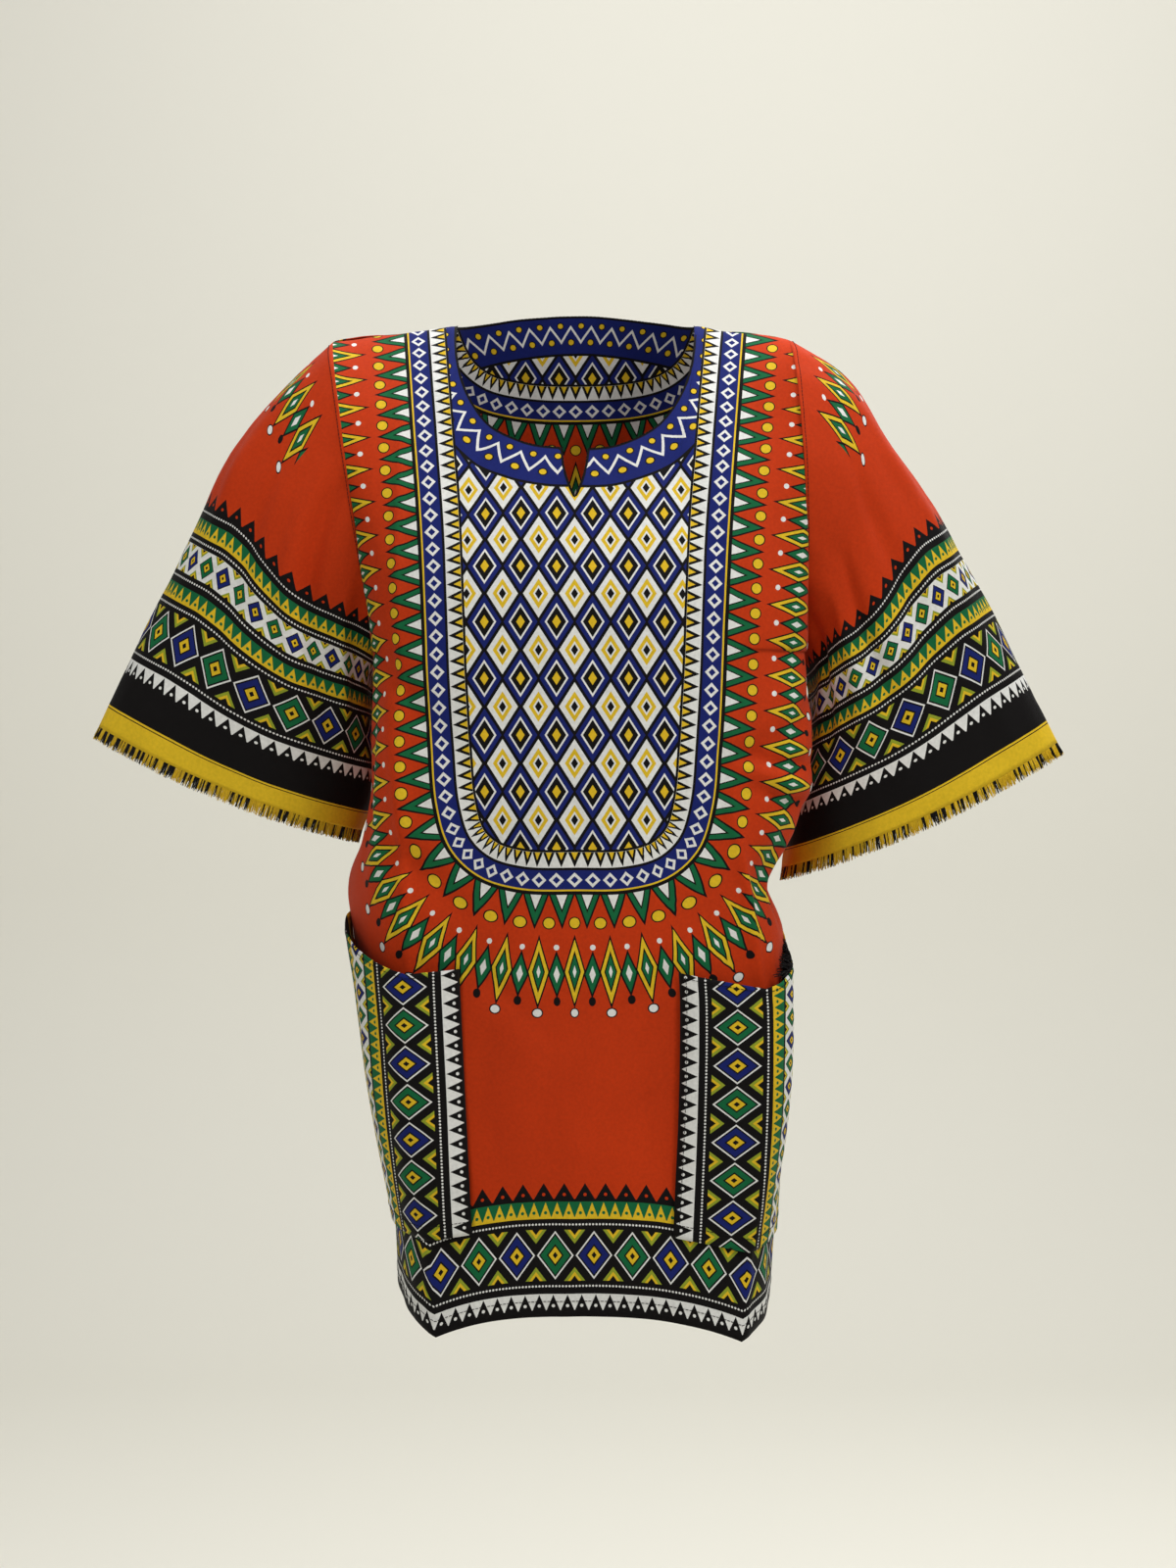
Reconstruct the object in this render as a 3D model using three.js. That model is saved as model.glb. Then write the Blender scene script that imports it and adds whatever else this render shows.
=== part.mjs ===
// A hip-length dashiki dress, hollow and in the shape it takes when it is worn, in millimetres.
// +Z is up, the front faces -Y and +X is the wearer's left, which is the side that left means here.
// The origin lies midway between the two neck points of the shoulder seams, where a wearer's
// shoulders hold the dress up. The pieces are those that a dressmaker cuts: a front with a scooped,
// notched neck, a back, two wide set-in sleeves, two patch pockets that wrap round to the side
// seams, and the frayed selvedge that ends each sleeve. Each is a closed wall of cloth, and seams
// are small gaps.
import * as THREE from "three";

// Turns short rows of numbers into rows with named columns.
function table(columns, rows) {
  const names = columns.split(" ");
  return rows.map((row) => Object.fromEntries(names.map((name, i) => [name, row[i]])));
}

// --- Driving dimensions -------------------------------------------------------------------
const CLOTH = 1.6; // wall of the front, the back and the sleeves
const POCKET_CLOTH = 1.2; // wall of a patch pocket
const SEAM_GAP = 0.4; // between two pieces that are sewn together
const SHARPEST_FOLD = 2.7; // radians between the outsides of two pieces at a seam
const POCKET_CLEAR = 0.8; // between a pocket's sewn edge and the front

// Neck: a scoop in front, a shallow rise at the nape, and a narrow slit below the scoop.
const NECK_HALF = 97;
const NECK_TOP = 5;
const NECK_DROP = 108;
const NECK_SQUARENESS = 2.5;
const NAPE_RISE = 17;
const NAPE_RIDGE = 100;
const SLIT_HALF = 10;
const SLIT_DEPTH = 39;

// Chest and shoulder blades round back to the shoulder seam above these levels.
const CHEST_LEVEL = -230;
const BLADE_LEVEL = -160;
const ROUND_POWER = 1.5;
const ROUND_FALL = 0.75;
const SIDE_Y = 5; // the side seams stand a little behind the middle
const SIDE_ROUND = 0.45;
const BACK_SWELL = 2;
const SWELL_FADE = 4; // how soon a swell dies out above the underarm

// The body, level by level: the side seams, the pressed corners where the front and the back turn
// into the sides, and how far forward and back the cloth stands at the middle and at those corners.
// swell is how far the side of the front stands out of the straight line from corner to seam.
const BODY_COLUMNS =
  "z rightSeam rightCorner leftCorner leftSeam front frontCorner back backCorner rightSwell leftSwell";
const BODY = table(BODY_COLUMNS, [
  [-810, -142, -108, 131, 155, 104, 90, 98, 84, 3, 3],
  [-720, -147, -114, 136, 161, 105, 92, 101, 87, 3, 4],
  [-620, -161, -121, 144, 164, 107, 93, 103, 89, 3, 4],
  [-530, -172, -127, 145, 165, 110, 95, 98, 85, 4, 4],
  [-485, -180, -129, 139, 166, 112, 97, 94, 82, 4, 5],
  [-443, -182, -131, 133, 149, 113, 98, 92, 80, 4, 5],
  [-405, -167, -132, 127, 154, 114, 99, 92, 80, 6, 24],
  [-372, -157, -132, 123, 168, 115, 100, 92, 80, 8, 33],
  [-325, -155, -132, 120, 176, 116, 101, 93, 81, 8, 26],
  [-262, -160, -132, 118, 181, 116, 101, 97, 84, 2, 9],
  [-110, -182, -131, 119, 174, 112, 98, 98, 85, 3, 3],
  [10, -197, -134, 124, 172, 110, 97, 96, 84, 0, 0],
]);

// The hem hangs lowest at the pressed corners, where the straight-cut shoulders let the cloth droop.
const HEM = {
  middle: -783,
  rightCorner: -802,
  leftCorner: -806,
  rightSeam: -763,
  leftSeam: -778,
  backMiddle: -774,
  backCorner: -788,
  droop: 2.5,
};

// Each armhole is an oval from the shoulder tip to the underarm.
const UNDERARM_Z = -262;
const ARMHOLES = {
  right: { tipX: -197, tipZ: -8, underX: -160, front: 68, back: 64, bow: 0 },
  left: { tipX: 172, tipZ: -6, underX: 182, front: 68, back: 64, bow: 6 },
};

// The sleeves, ring by ring from the armhole (0) to the cut edge (1): the outer fold, the underarm
// line and the depth of the tube in front of and behind them. lean moves the depth towards the arm.
const SLEEVE_COLUMNS = "at topX topZ lowX lowZ lowY front back lean";
const SLEEVES = {
  left: table(SLEEVE_COLUMNS, [
    [0.15, 221, -38, 191, -290, 18, 68, 62, 0.05],
    [0.3, 254, -86, 190, -316, 28, 67, 59, 0.1],
    [0.5, 299, -152, 186, -350, 34, 64, 55, 0.18],
    [0.75, 346, -240, 178, -394, 38, 58, 51, 0.27],
    [1, 393, -334, 172, -437, 42, 52, 47, 0.35],
  ]),
  right: table(SLEEVE_COLUMNS, [
    [0.15, -239, -47, -167, -284, 18, 68, 62, 0.05],
    [0.3, -278, -96, -167, -306, 27, 67, 59, 0.1],
    [0.5, -309, -162, -165, -335, 31, 64, 55, 0.18],
    [0.75, -353, -246, -166, -371, 34, 58, 51, 0.27],
    [1, -388, -321, -177, -406, 36, 52, 47, 0.35],
  ]),
};
const SLEEVE_SAG = 8; // the cut edge sags in front between its two folds

// The patch pockets: the mouth's and the foot's heights at the inner edge, the corner and the seam.
const POCKETS = {
  right: { mouth: [-512, -515, -469], foot: [-720, -726, -716] },
  left: { mouth: [-515, -527, -485], foot: [-722, -735, -722] },
};
const POCKET_GAPE = 14; // how far a pocket's mouth stands off the front
const GAPE_FLATNESS = 0.6; // below 1 keeps the gape full on its way to the sewn edges
const GAPE_RISE = 1.6; // the gape is full at 1 / GAPE_RISE of the pocket's height
const POCKET_SEAM_STOP = 0.95; // how far round to the side seam a pocket's wall reaches

// The selvedge: a narrow strip of loosened cloth that ends in locks of loose thread.
const SELVEDGE = 6;
const LOCKS = 66; // on each sleeve
const LOCK_LENGTH = 12;
const NEAR_EDGE = 0.97; // a ring of the sleeve that shows which way the cloth hangs at its edge

// How finely the cloth is divided. Columns run from the middle to the corner, as shares of that
// width low down, and the pocket's inner edge and the neck point share column EDGE_COLUMN.
const FACE_SHARES = {
  right: [0, 0.075, 0.19, 0.31, 0.43, 0.57, 0.7, 0.85, 1],
  left: [0, 0.075, 0.17, 0.27, 0.37, 0.47, 0.565, 0.78, 1],
};
const SIDE_CELLS = 5;
const EDGE_COLUMN = 6;
const SLIT_COLUMNS = 0.6; // the width that the slit's column takes, of the columns out to the neck point
const LOW_ROWS = [0, 0.07, 0.17, 0.28, 0.39, 0.48, 0.55, 0.61, 0.66, 0.705, 0.75, 0.79, 0.83, 0.88,
  0.94, 1];
const ARM_CELLS = 13; // from underarm to shoulder, and half-way round a sleeve
const SLEEVE_ROWS = 11;
const POCKET_ROWS = 7;

// --- Small tools --------------------------------------------------------------------------
const lerp = (a, b, t) => a + (b - a) * t;
const clamp01 = (t) => Math.min(1, Math.max(0, t));
const smooth = (t) => clamp01(t) ** 2 * (3 - 2 * clamp01(t));

// A smooth curve through one column of a table, read at a value of its key column.
function read(table, key, column, value) {
  const last = table.length - 1;
  const at = clamp01((value - table[0][key]) / (table[last][key] - table[0][key]));
  const place = lerp(table[0][key], table[last][key], at);
  let i = 0;
  while (i < last - 1 && table[i + 1][key] < place) i += 1;
  const slope = (k) => {
    const a = table[Math.max(0, k - 1)];
    const b = table[Math.min(last, k + 1)];
    return (b[column] - a[column]) / (b[key] - a[key]);
  };
  const wide = table[i + 1][key] - table[i][key];
  const t = (place - table[i][key]) / wide;
  const [p, q] = [table[i][column], table[i + 1][column]];
  const [m, n] = [slope(i) * wide, slope(i + 1) * wide];
  const fromStart = (2 * t ** 3 - 3 * t ** 2 + 1) * p + (t ** 3 - 2 * t ** 2 + t) * m;
  return fromStart + (3 * t ** 2 - 2 * t ** 3) * q + (t ** 3 - t ** 2) * n;
}
const body = (column, z) => read(BODY, "z", column, z);

// --- The body's form ----------------------------------------------------------------------
// The share of its full depth that the cloth keeps on its way up to the shoulder seam.
function roundedOff(z, level, ridge) {
  const rise = clamp01((z - level) / (ridge - level));
  return Math.max(0, 1 - rise ** ROUND_POWER) ** ROUND_FALL;
}

// The height of the shoulder line at a distance from the middle.
function shoulderLine(side, x) {
  const tip = ARMHOLES[side];
  const out = (Math.abs(x) - NECK_HALF) / (Math.abs(tip.tipX) - NECK_HALF);
  return lerp(NECK_TOP, tip.tipZ, clamp01(out));
}

// The front neckline's height, with the slit in its middle, and the nape's.
function frontNeck(x) {
  const share = Math.min(1, Math.abs(x) / NECK_HALF);
  const scoop = NECK_TOP - NECK_DROP * (1 - share ** NECK_SQUARENESS) ** (1 / NECK_SQUARENESS);
  const slit = Math.max(0, 1 - Math.abs(x) / SLIT_HALF);
  return scoop - SLIT_DEPTH * Math.sqrt(slit);
}
const napeShare = (x) => Math.max(0, 1 - (x / NECK_HALF) ** 2);

// A point of an armhole's edge: turn 0 is the shoulder tip, PI the underarm, and the back follows.
function armhole(side, turn) {
  const a = ARMHOLES[side];
  const along = (1 - Math.cos(turn)) / 2;
  const deep = Math.sin(turn) >= 0 ? a.front : a.back;
  const forward = Math.sin(turn) * deep;
  const x = lerp(a.tipX, a.underX, along) + Math.sign(a.tipX) * a.bow * Math.max(0, Math.sin(turn));
  return new THREE.Vector3(x, SIDE_Y * along - forward, lerp(a.tipZ, UNDERARM_Z, along));
}

// The place of a column at a height, between the middle (0) and a corner (1). face is 1 in front,
// -1 behind.
function facePoint(side, face, share, z) {
  const x = share * body(side + "Corner", z);
  const names = face > 0 ? ["front", "frontCorner"] : ["back", "backCorner"];
  const deep = lerp(body(names[0], z), body(names[1], z), share ** 2);
  const ridge = shoulderLine(side, x) + (face > 0 ? 0 : NAPE_RIDGE * napeShare(x));
  const kept = roundedOff(z, face > 0 ? CHEST_LEVEL : BLADE_LEVEL, ridge);
  return new THREE.Vector3(x, -face * deep * kept, z);
}

// A point between a corner and the panel's edge: the side turns back in a round bend, and swells out.
function sidePoint(corner, edge, share, swell) {
  const out = 1 - (1 - share) ** (1 + SIDE_ROUND);
  const back = share ** (1 + SIDE_ROUND);
  return new THREE.Vector3(
    lerp(corner.x, edge.x, out) + Math.sign(corner.x) * swell * Math.sin(Math.PI * share),
    lerp(corner.y, edge.y, back),
    lerp(corner.z, edge.z, share),
  );
}

// The surface below the underarm at any column and height.
function bodyPoint(side, face, column, z) {
  const shares = FACE_SHARES[side];
  const corners = shares.length - 1;
  if (column <= corners) {
    const i = Math.min(corners - 1, Math.floor(column));
    return facePoint(side, face, lerp(shares[i], shares[i + 1], column - i), z);
  }
  const edge = new THREE.Vector3(body(side + "Seam", z), SIDE_Y, z);
  const swell = face > 0 ? body(side + "Swell", z) : BACK_SWELL;
  return sidePoint(facePoint(side, face, 1, z), edge, (column - corners) / SIDE_CELLS, swell);
}

// The share of the way to the corner that a column stands at: the pocket's edge low down, the
// neck point at the shoulder, with the neck's columns closer together where its edge is steep.
function faceShare(side, column, up) {
  const low = FACE_SHARES[side][column];
  const edge = FACE_SHARES[side][EDGE_COLUMN];
  const cornerTop = Math.abs(body(side + "Corner", NECK_TOP));
  const neck = NECK_HALF / cornerTop;
  const round = Math.sin((Math.PI / 2) * (column - SLIT_COLUMNS) / (EDGE_COLUMN - SLIT_COLUMNS));
  let top = lerp(neck, 1, (low - edge) / (1 - edge));
  if (column <= EDGE_COLUMN) top = neck * round;
  if (column <= 1) top = (column * SLIT_HALF) / cornerTop;
  return lerp(low, top, smooth(up));
}

// The panel's point in a column (0 is the middle, FACE_SHARES end at the corner) and a row.
function panelPoint(side, face, column, row) {
  const corners = FACE_SHARES[side].length - 1;
  const low = row <= LOW_ROWS.length - 1;
  const climb = low ? LOW_ROWS[row] : 0;
  const turn = low ? Math.PI : Math.PI * (1 - (row - LOW_ROWS.length + 1) / ARM_CELLS);
  const up = (1 + Math.cos(turn)) / 2;
  const hemCorner = face > 0 ? HEM[side + "Corner"] : HEM.backCorner;
  const hemMiddle = face > 0 ? HEM.middle : HEM.backMiddle;
  const onFace = (index) => {
    const share = faceShare(side, index, low ? 0 : up);
    if (low) {
      const hem = lerp(hemMiddle, hemCorner, share ** HEM.droop);
      return facePoint(side, face, share, lerp(hem, UNDERARM_Z, climb));
    }
    const topX = faceShare(side, index, 1) * body(side + "Corner", NECK_TOP);
    const onNeck = index <= EDGE_COLUMN;
    const seam = shoulderLine(side, topX);
    const front = onNeck ? frontNeck(topX) : seam;
    const back = onNeck ? NECK_TOP + NAPE_RISE * napeShare(topX) : seam;
    return facePoint(side, face, share, lerp(UNDERARM_Z, face > 0 ? front : back, up));
  };
  if (column <= corners) return onFace(column);
  const share = (column - corners) / SIDE_CELLS;
  if (low) {
    const hem = lerp(hemCorner, HEM[side + "Seam"], share);
    return bodyPoint(side, face, column, lerp(hem, UNDERARM_Z, climb));
  }
  const edge = armhole(side, face > 0 ? turn : 2 * Math.PI - turn);
  const swell = face > 0 ? body(side + "Swell", UNDERARM_Z) : BACK_SWELL;
  return sidePoint(onFace(corners), edge, share, (1 - up) ** SWELL_FADE * swell);
}

// --- Walls of cloth -----------------------------------------------------------------------
// A grid is { points, normals }, rows of vectors. ring says that its last column meets its first.
function gridOf(points, ring) {
  const rows = points.length;
  const columns = points[0].length;
  const normals = points.map((row, r) => row.map((_, c) => {
    const [r0, r1] = [Math.max(0, r - 1), Math.min(rows - 1, r + 1)];
    const c0 = ring ? (c + columns - 1) % columns : Math.max(0, c - 1);
    const c1 = ring ? (c + 1) % columns : Math.min(columns - 1, c + 1);
    const across = points[r][c1].clone().sub(points[r][c0]);
    const along = points[r1][c].clone().sub(points[r0][c]);
    return across.cross(along).normalize();
  }));
  return { points, normals, ring, moves: [] };
}

// The way from an edge point into its piece, square to the edge.
function intoPiece(grid, r, c, innerRow, innerColumn) {
  const { points, ring } = grid;
  const columns = points[0].length;
  const wrap = (k) => (ring ? (k + columns) % columns : Math.min(columns - 1, Math.max(0, k)));
  const sideways = innerRow === r;
  const before = sideways ? points[Math.max(0, r - 1)][c] : points[r][wrap(c - 1)];
  const after = sideways ? points[Math.min(points.length - 1, r + 1)][c] : points[r][wrap(c + 1)];
  const along = after.clone().sub(before).normalize();
  const inward = points[innerRow][innerColumn].clone().sub(points[r][c]);
  return inward.addScaledVector(along, -inward.dot(along)).normalize();
}

// Draws the edge points of sewn pieces back into their pieces, so that the walls stay SEAM_GAP
// apart however sharply the seam folds. A place is [grid, row, column, inner row, inner column].
function sew(places) {
  const normals = places.map(([grid, r, c]) => grid.normals[r][c]);
  places.forEach(([grid, r, c, innerRow, innerColumn], i) => {
    const sharpest = Math.max(...normals.map((n) => n.angleTo(normals[i])));
    const fold = Math.min(sharpest, SHARPEST_FOLD) / 2;
    const back = (CLOTH / 2) * Math.tan(fold) + SEAM_GAP / 2 / Math.cos(fold);
    grid.moves.push([r, c, intoPiece(grid, r, c, innerRow, innerColumn).multiplyScalar(back)]);
  });
}

// Moves what sew has drawn back.
function settle(grid) {
  for (const [r, c, inward] of grid.moves) grid.points[r][c] = grid.points[r][c].clone().add(inward);
}

// A closed wall of a given thickness round a grid.
function wall(grid, thick) {
  const { points, normals, ring } = grid;
  const rows = points.length;
  const columns = points[0].length;
  const positions = [];
  for (const side of [0.5, -0.5]) {
    points.forEach((row, r) => row.forEach((p, c) => {
      positions.push(...p.clone().addScaledVector(normals[r][c], side * thick).toArray());
    }));
  }
  const half = rows * columns;
  const out = (r, c) => r * columns + (c % columns);
  const inn = (r, c) => half + out(r, c);
  const faces = [];
  const quad = (a, b, c, d) => faces.push(a, b, c, a, c, d);
  const across = ring ? columns : columns - 1;
  for (let r = 0; r < rows - 1; r += 1) {
    for (let c = 0; c < across; c += 1) {
      quad(out(r, c), out(r, c + 1), out(r + 1, c + 1), out(r + 1, c));
      quad(inn(r, c), inn(r + 1, c), inn(r + 1, c + 1), inn(r, c + 1));
    }
  }
  for (let c = 0; c < across; c += 1) {
    quad(out(0, c), inn(0, c), inn(0, c + 1), out(0, c + 1));
    quad(out(rows - 1, c), out(rows - 1, c + 1), inn(rows - 1, c + 1), inn(rows - 1, c));
  }
  for (let r = 0; r < rows - 1 && !ring; r += 1) {
    quad(out(r, 0), out(r + 1, 0), inn(r + 1, 0), inn(r, 0));
    quad(out(r, columns - 1), inn(r, columns - 1), inn(r + 1, columns - 1), out(r + 1, columns - 1));
  }
  return geometryOf(positions, faces);
}

function geometryOf(positions, faces) {
  const geometry = new THREE.BufferGeometry();
  geometry.setAttribute("position", new THREE.Float32BufferAttribute(positions, 3));
  geometry.setIndex(faces);
  geometry.computeVertexNormals();
  return geometry;
}

// --- Front and back -----------------------------------------------------------------------
const HALF_COLUMNS = FACE_SHARES.right.length - 1 + SIDE_CELLS;
const PANEL_ROWS = LOW_ROWS.length + ARM_CELLS;

// Columns run from the wearer's right (-X) to the left. The back's grid is turned to face out.
function panelGrid(face) {
  const points = [];
  for (let row = 0; row < PANEL_ROWS; row += 1) {
    const line = [];
    for (let c = -HALF_COLUMNS; c <= HALF_COLUMNS; c += 1) {
      line.push(panelPoint(c < 0 ? "right" : "left", face, Math.abs(c), row));
    }
    points.push(line);
  }
  if (face < 0) points.forEach((line) => line.reverse());
  return gridOf(points, false);
}

// --- Sleeves ------------------------------------------------------------------------------
// A ring's point: turn 0 is the outer fold, PI the underarm, and the front comes between them.
function sleevePoint(side, at, turn) {
  const a = ARMHOLES[side];
  const start = {
    at: 0,
    topX: a.tipX,
    topZ: a.tipZ,
    lowX: a.underX,
    lowZ: UNDERARM_Z,
    lowY: SIDE_Y,
    front: a.front,
    back: a.back,
    lean: 0,
  };
  const table = [start, ...SLEEVES[side]];
  const value = (column) => read(table, "at", column, at);
  const along = (1 - Math.cos(turn)) / 2;
  const depth = Math.sin(turn) >= 0 ? value("front") : value("back");
  const deep = depth * (1 - value("lean") * Math.cos(turn));
  const bow = Math.sign(a.tipX) * a.bow * (1 - at) * Math.max(0, Math.sin(turn));
  const sag = SLEEVE_SAG * at * Math.sin(turn) ** 2;
  return new THREE.Vector3(
    lerp(value("topX"), value("lowX"), along) + bow,
    value("lowY") * along - Math.sin(turn) * deep,
    lerp(value("topZ"), value("lowZ"), along) - sag,
  );
}

function sleeveGrid(side) {
  const rings = [];
  for (let r = 0; r <= SLEEVE_ROWS; r += 1) {
    const ring = [];
    for (let c = 0; c < 2 * ARM_CELLS; c += 1) {
      ring.push(sleevePoint(side, r / SLEEVE_ROWS, (Math.PI * c) / ARM_CELLS));
    }
    rings.push(ring);
  }
  if (side === "right") rings.forEach((ring) => ring.reverse());
  return gridOf(rings, true);
}

// The column of a sleeve's grid that stands at a turn of k cells.
const sleeveColumn = (side, k) => (side === "left" ? k : 2 * ARM_CELLS - 1 - k);

// The cloth of a sleeve stops short of its edge, where the selvedge strip takes over.
function trimSleeve(grid) {
  const last = grid.points.length - 1;
  const edge = grid.points[last].map((p) => p.clone());
  grid.points[last] = edge.map((p, c) => {
    const inward = grid.points[last - 1][c].clone().sub(p).setLength(SELVEDGE);
    return p.clone().add(inward);
  });
}

// A ring of strip and thread: every other cell of the strip carries a pointed lock.
function selvedge(side) {
  const cells = 2 * LOCKS;
  const rows = [[], [], []];
  for (let c = 0; c < cells; c += 1) {
    const turn = ((side === "left" ? c : cells - 1 - c) * 2 * Math.PI) / cells;
    const edge = sleevePoint(side, 1, turn);
    const down = edge.clone().sub(sleevePoint(side, NEAR_EDGE, turn)).normalize();
    rows[0].push(edge.clone().addScaledVector(down, SEAM_GAP - SELVEDGE));
    rows[1].push(edge);
    rows[2].push(edge.clone().addScaledVector(down, LOCK_LENGTH));
  }
  const { normals } = gridOf(rows, true);
  const positions = [];
  for (const layer of [0.5, -0.5]) {
    for (const r of [0, 1]) {
      rows[r].forEach((p, c) => {
        positions.push(...p.clone().addScaledVector(normals[r][c], layer * CLOTH).toArray());
      });
    }
  }
  const at = (layer, r, c) => (layer * 2 + r) * cells + (c % cells);
  const faces = [];
  const quad = (a, b, c, d) => faces.push(a, b, c, a, c, d);
  for (let c = 0; c < cells; c += 1) {
    quad(at(0, 0, c), at(0, 0, c + 1), at(0, 1, c + 1), at(0, 1, c));
    quad(at(1, 0, c), at(1, 1, c), at(1, 1, c + 1), at(1, 0, c + 1));
    quad(at(0, 0, c), at(1, 0, c), at(1, 0, c + 1), at(0, 0, c + 1));
    const root = [at(0, 1, c), at(0, 1, c + 1), at(1, 1, c + 1), at(1, 1, c)];
    if (c % 2) {
      quad(...root);
    } else {
      const tip = positions.length / 3;
      positions.push(...rows[2][c].clone().lerp(rows[2][c + 1], 0.5).toArray());
      root.forEach((corner, i) => faces.push(corner, root[(i + 1) % 4], tip));
    }
  }
  return geometryOf(positions, faces);
}

// --- Pockets ------------------------------------------------------------------------------
// The height of a pocket's edge in a column, from its heights at the inner edge, the corner and the
// seam.
function edgeHeight([inner, corner, seam], column, corners) {
  const toCorner = clamp01((column - EDGE_COLUMN) / (corners - EDGE_COLUMN));
  const toSeam = clamp01((column - corners) / SIDE_CELLS);
  return lerp(lerp(inner, corner, toCorner), seam, toSeam);
}

// A pocket is the front's own surface between its inner edge and the side seam, moved out.
function pocketGrid(side) {
  const { mouth, foot } = POCKETS[side];
  const corners = FACE_SHARES[side].length - 1;
  const columns = [];
  for (let c = EDGE_COLUMN; c <= corners; c += 0.5) columns.push(c);
  for (let c = 1; c <= SIDE_CELLS; c += 1) columns.push(corners + c * POCKET_SEAM_STOP);
  if (side === "right") columns.reverse();
  const wide = corners + SIDE_CELLS * POCKET_SEAM_STOP - EDGE_COLUMN;
  const rows = [];
  for (let r = 0; r <= POCKET_ROWS; r += 1) {
    const up = r / POCKET_ROWS;
    rows.push(columns.map((c) => {
      const z = lerp(edgeHeight(foot, c, corners), edgeHeight(mouth, c, corners), up);
      return bodyPoint(side, 1, c, z);
    }));
  }
  const { normals } = gridOf(rows, false);
  const lift = CLOTH / 2 + POCKET_CLEAR + POCKET_CLOTH / 2;
  const points = rows.map((row, r) => row.map((p, i) => {
    const across = Math.max(0, Math.sin((Math.PI * (columns[i] - EDGE_COLUMN)) / wide));
    const rise = Math.sin((Math.PI / 2) * Math.min(1, (GAPE_RISE * r) / POCKET_ROWS));
    return p.clone().addScaledVector(normals[r][i], lift + POCKET_GAPE * across ** GAPE_FLATNESS * rise);
  }));
  return gridOf(points, false);
}

// --- Assembly -----------------------------------------------------------------------------
const front = panelGrid(1);
const back = panelGrid(-1);
const sleeves = { right: sleeveGrid("right"), left: sleeveGrid("left") };

// The seams: front to back at the sides and shoulders, and both to the sleeves round the armholes.
const lastColumn = 2 * HALF_COLUMNS;
const lastRow = PANEL_ROWS - 1;
const underRow = LOW_ROWS.length - 1;
const turns = 2 * ARM_CELLS;
for (const [side, edge, inner] of [["right", 0, 1], ["left", lastColumn, lastColumn - 1]]) {
  const onFront = (r) => [front, r, edge, r, inner];
  const onBack = (r) => [back, r, lastColumn - edge, r, lastColumn - inner];
  const onSleeve = (k) => {
    const c = sleeveColumn(side, k % turns);
    return [sleeves[side], 0, c, 1, c];
  };
  for (let r = 0; r < underRow; r += 1) sew([onFront(r), onBack(r)]);
  for (let k = 0; k <= ARM_CELLS; k += 1) {
    const row = lastRow - k;
    if (k === 0 || k === ARM_CELLS) sew([onFront(row), onBack(row), onSleeve(k)]);
    else {
      sew([onFront(row), onSleeve(k)]);
      sew([onBack(row), onSleeve(turns - k)]);
    }
  }
}
for (let c = 0; c <= HALF_COLUMNS - EDGE_COLUMN; c += 1) {
  for (const place of [c, lastColumn - c]) {
    const behind = lastColumn - place;
    sew([[front, lastRow, place, lastRow - 1, place], [back, lastRow, behind, lastRow - 1, behind]]);
  }
}
[front, back, sleeves.right, sleeves.left].forEach(settle);
trimSleeve(sleeves.right);
trimSleeve(sleeves.left);

// --- Colours: the printed cotton's ground, the pockets' border print and the bare selvedge ----
const PRINTED_COTTON = { color: 0xc8410f, roughness: 0.85, metalness: 0, side: THREE.FrontSide };
const BORDER_PRINT = { color: 0x6f7a2e, roughness: 0.85, metalness: 0, side: THREE.FrontSide };
const BARE_SELVEDGE = { color: 0xc9a01c, roughness: 0.9, metalness: 0, side: THREE.FrontSide };

const dress = new THREE.Group();
function add(name, geometry, finish) {
  const mesh = new THREE.Mesh(geometry, new THREE.MeshStandardMaterial(finish));
  mesh.name = name;
  dress.add(mesh);
}

add("front", wall(front, CLOTH), PRINTED_COTTON);
add("back", wall(back, CLOTH), PRINTED_COTTON);
for (const side of ["left", "right"]) {
  add(`${side}_sleeve`, wall(sleeves[side], CLOTH), PRINTED_COTTON);
  add(`${side}_selvedge`, selvedge(side), BARE_SELVEDGE);
  add(`${side}_pocket`, wall(pocketGrid(side), POCKET_CLOTH), BORDER_PRINT);
}

export default dress;
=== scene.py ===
"""A short cotton dashiki dress, hollow as if worn: its cloth, its printed borders, seams and frays."""

import logging
import math
from dataclasses import dataclass, field
from enum import Enum
from typing import Callable, Iterable, Optional, Sequence, Union

import bpy
import numpy as np
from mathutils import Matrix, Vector, noise


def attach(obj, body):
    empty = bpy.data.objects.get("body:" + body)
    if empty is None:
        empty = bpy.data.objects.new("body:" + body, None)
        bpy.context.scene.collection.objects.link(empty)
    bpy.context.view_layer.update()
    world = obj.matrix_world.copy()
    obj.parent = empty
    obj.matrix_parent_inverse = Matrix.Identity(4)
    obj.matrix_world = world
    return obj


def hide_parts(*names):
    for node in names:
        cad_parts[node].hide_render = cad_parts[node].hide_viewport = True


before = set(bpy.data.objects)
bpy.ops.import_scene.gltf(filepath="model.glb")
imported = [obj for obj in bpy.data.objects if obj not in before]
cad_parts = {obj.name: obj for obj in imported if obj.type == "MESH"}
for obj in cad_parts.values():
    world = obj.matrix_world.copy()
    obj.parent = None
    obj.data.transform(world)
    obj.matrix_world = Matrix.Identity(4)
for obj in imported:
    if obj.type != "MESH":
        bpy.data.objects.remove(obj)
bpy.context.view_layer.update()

LOG = logging.getLogger("dashiki")
MM = 0.001
Array = np.ndarray


# --- Small tools ---------------------------------------------------------------------------


def lerp(a: Array, b: Array, t: Array) -> Array:
    """The value a share t of the way from a to b."""
    return a + (b - a) * t


def smooth(t: Array) -> Array:
    """A soft step from 0 to 1."""
    held = np.clip(t, 0, 1)
    return held**2 * (3 - 2 * held)


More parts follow.
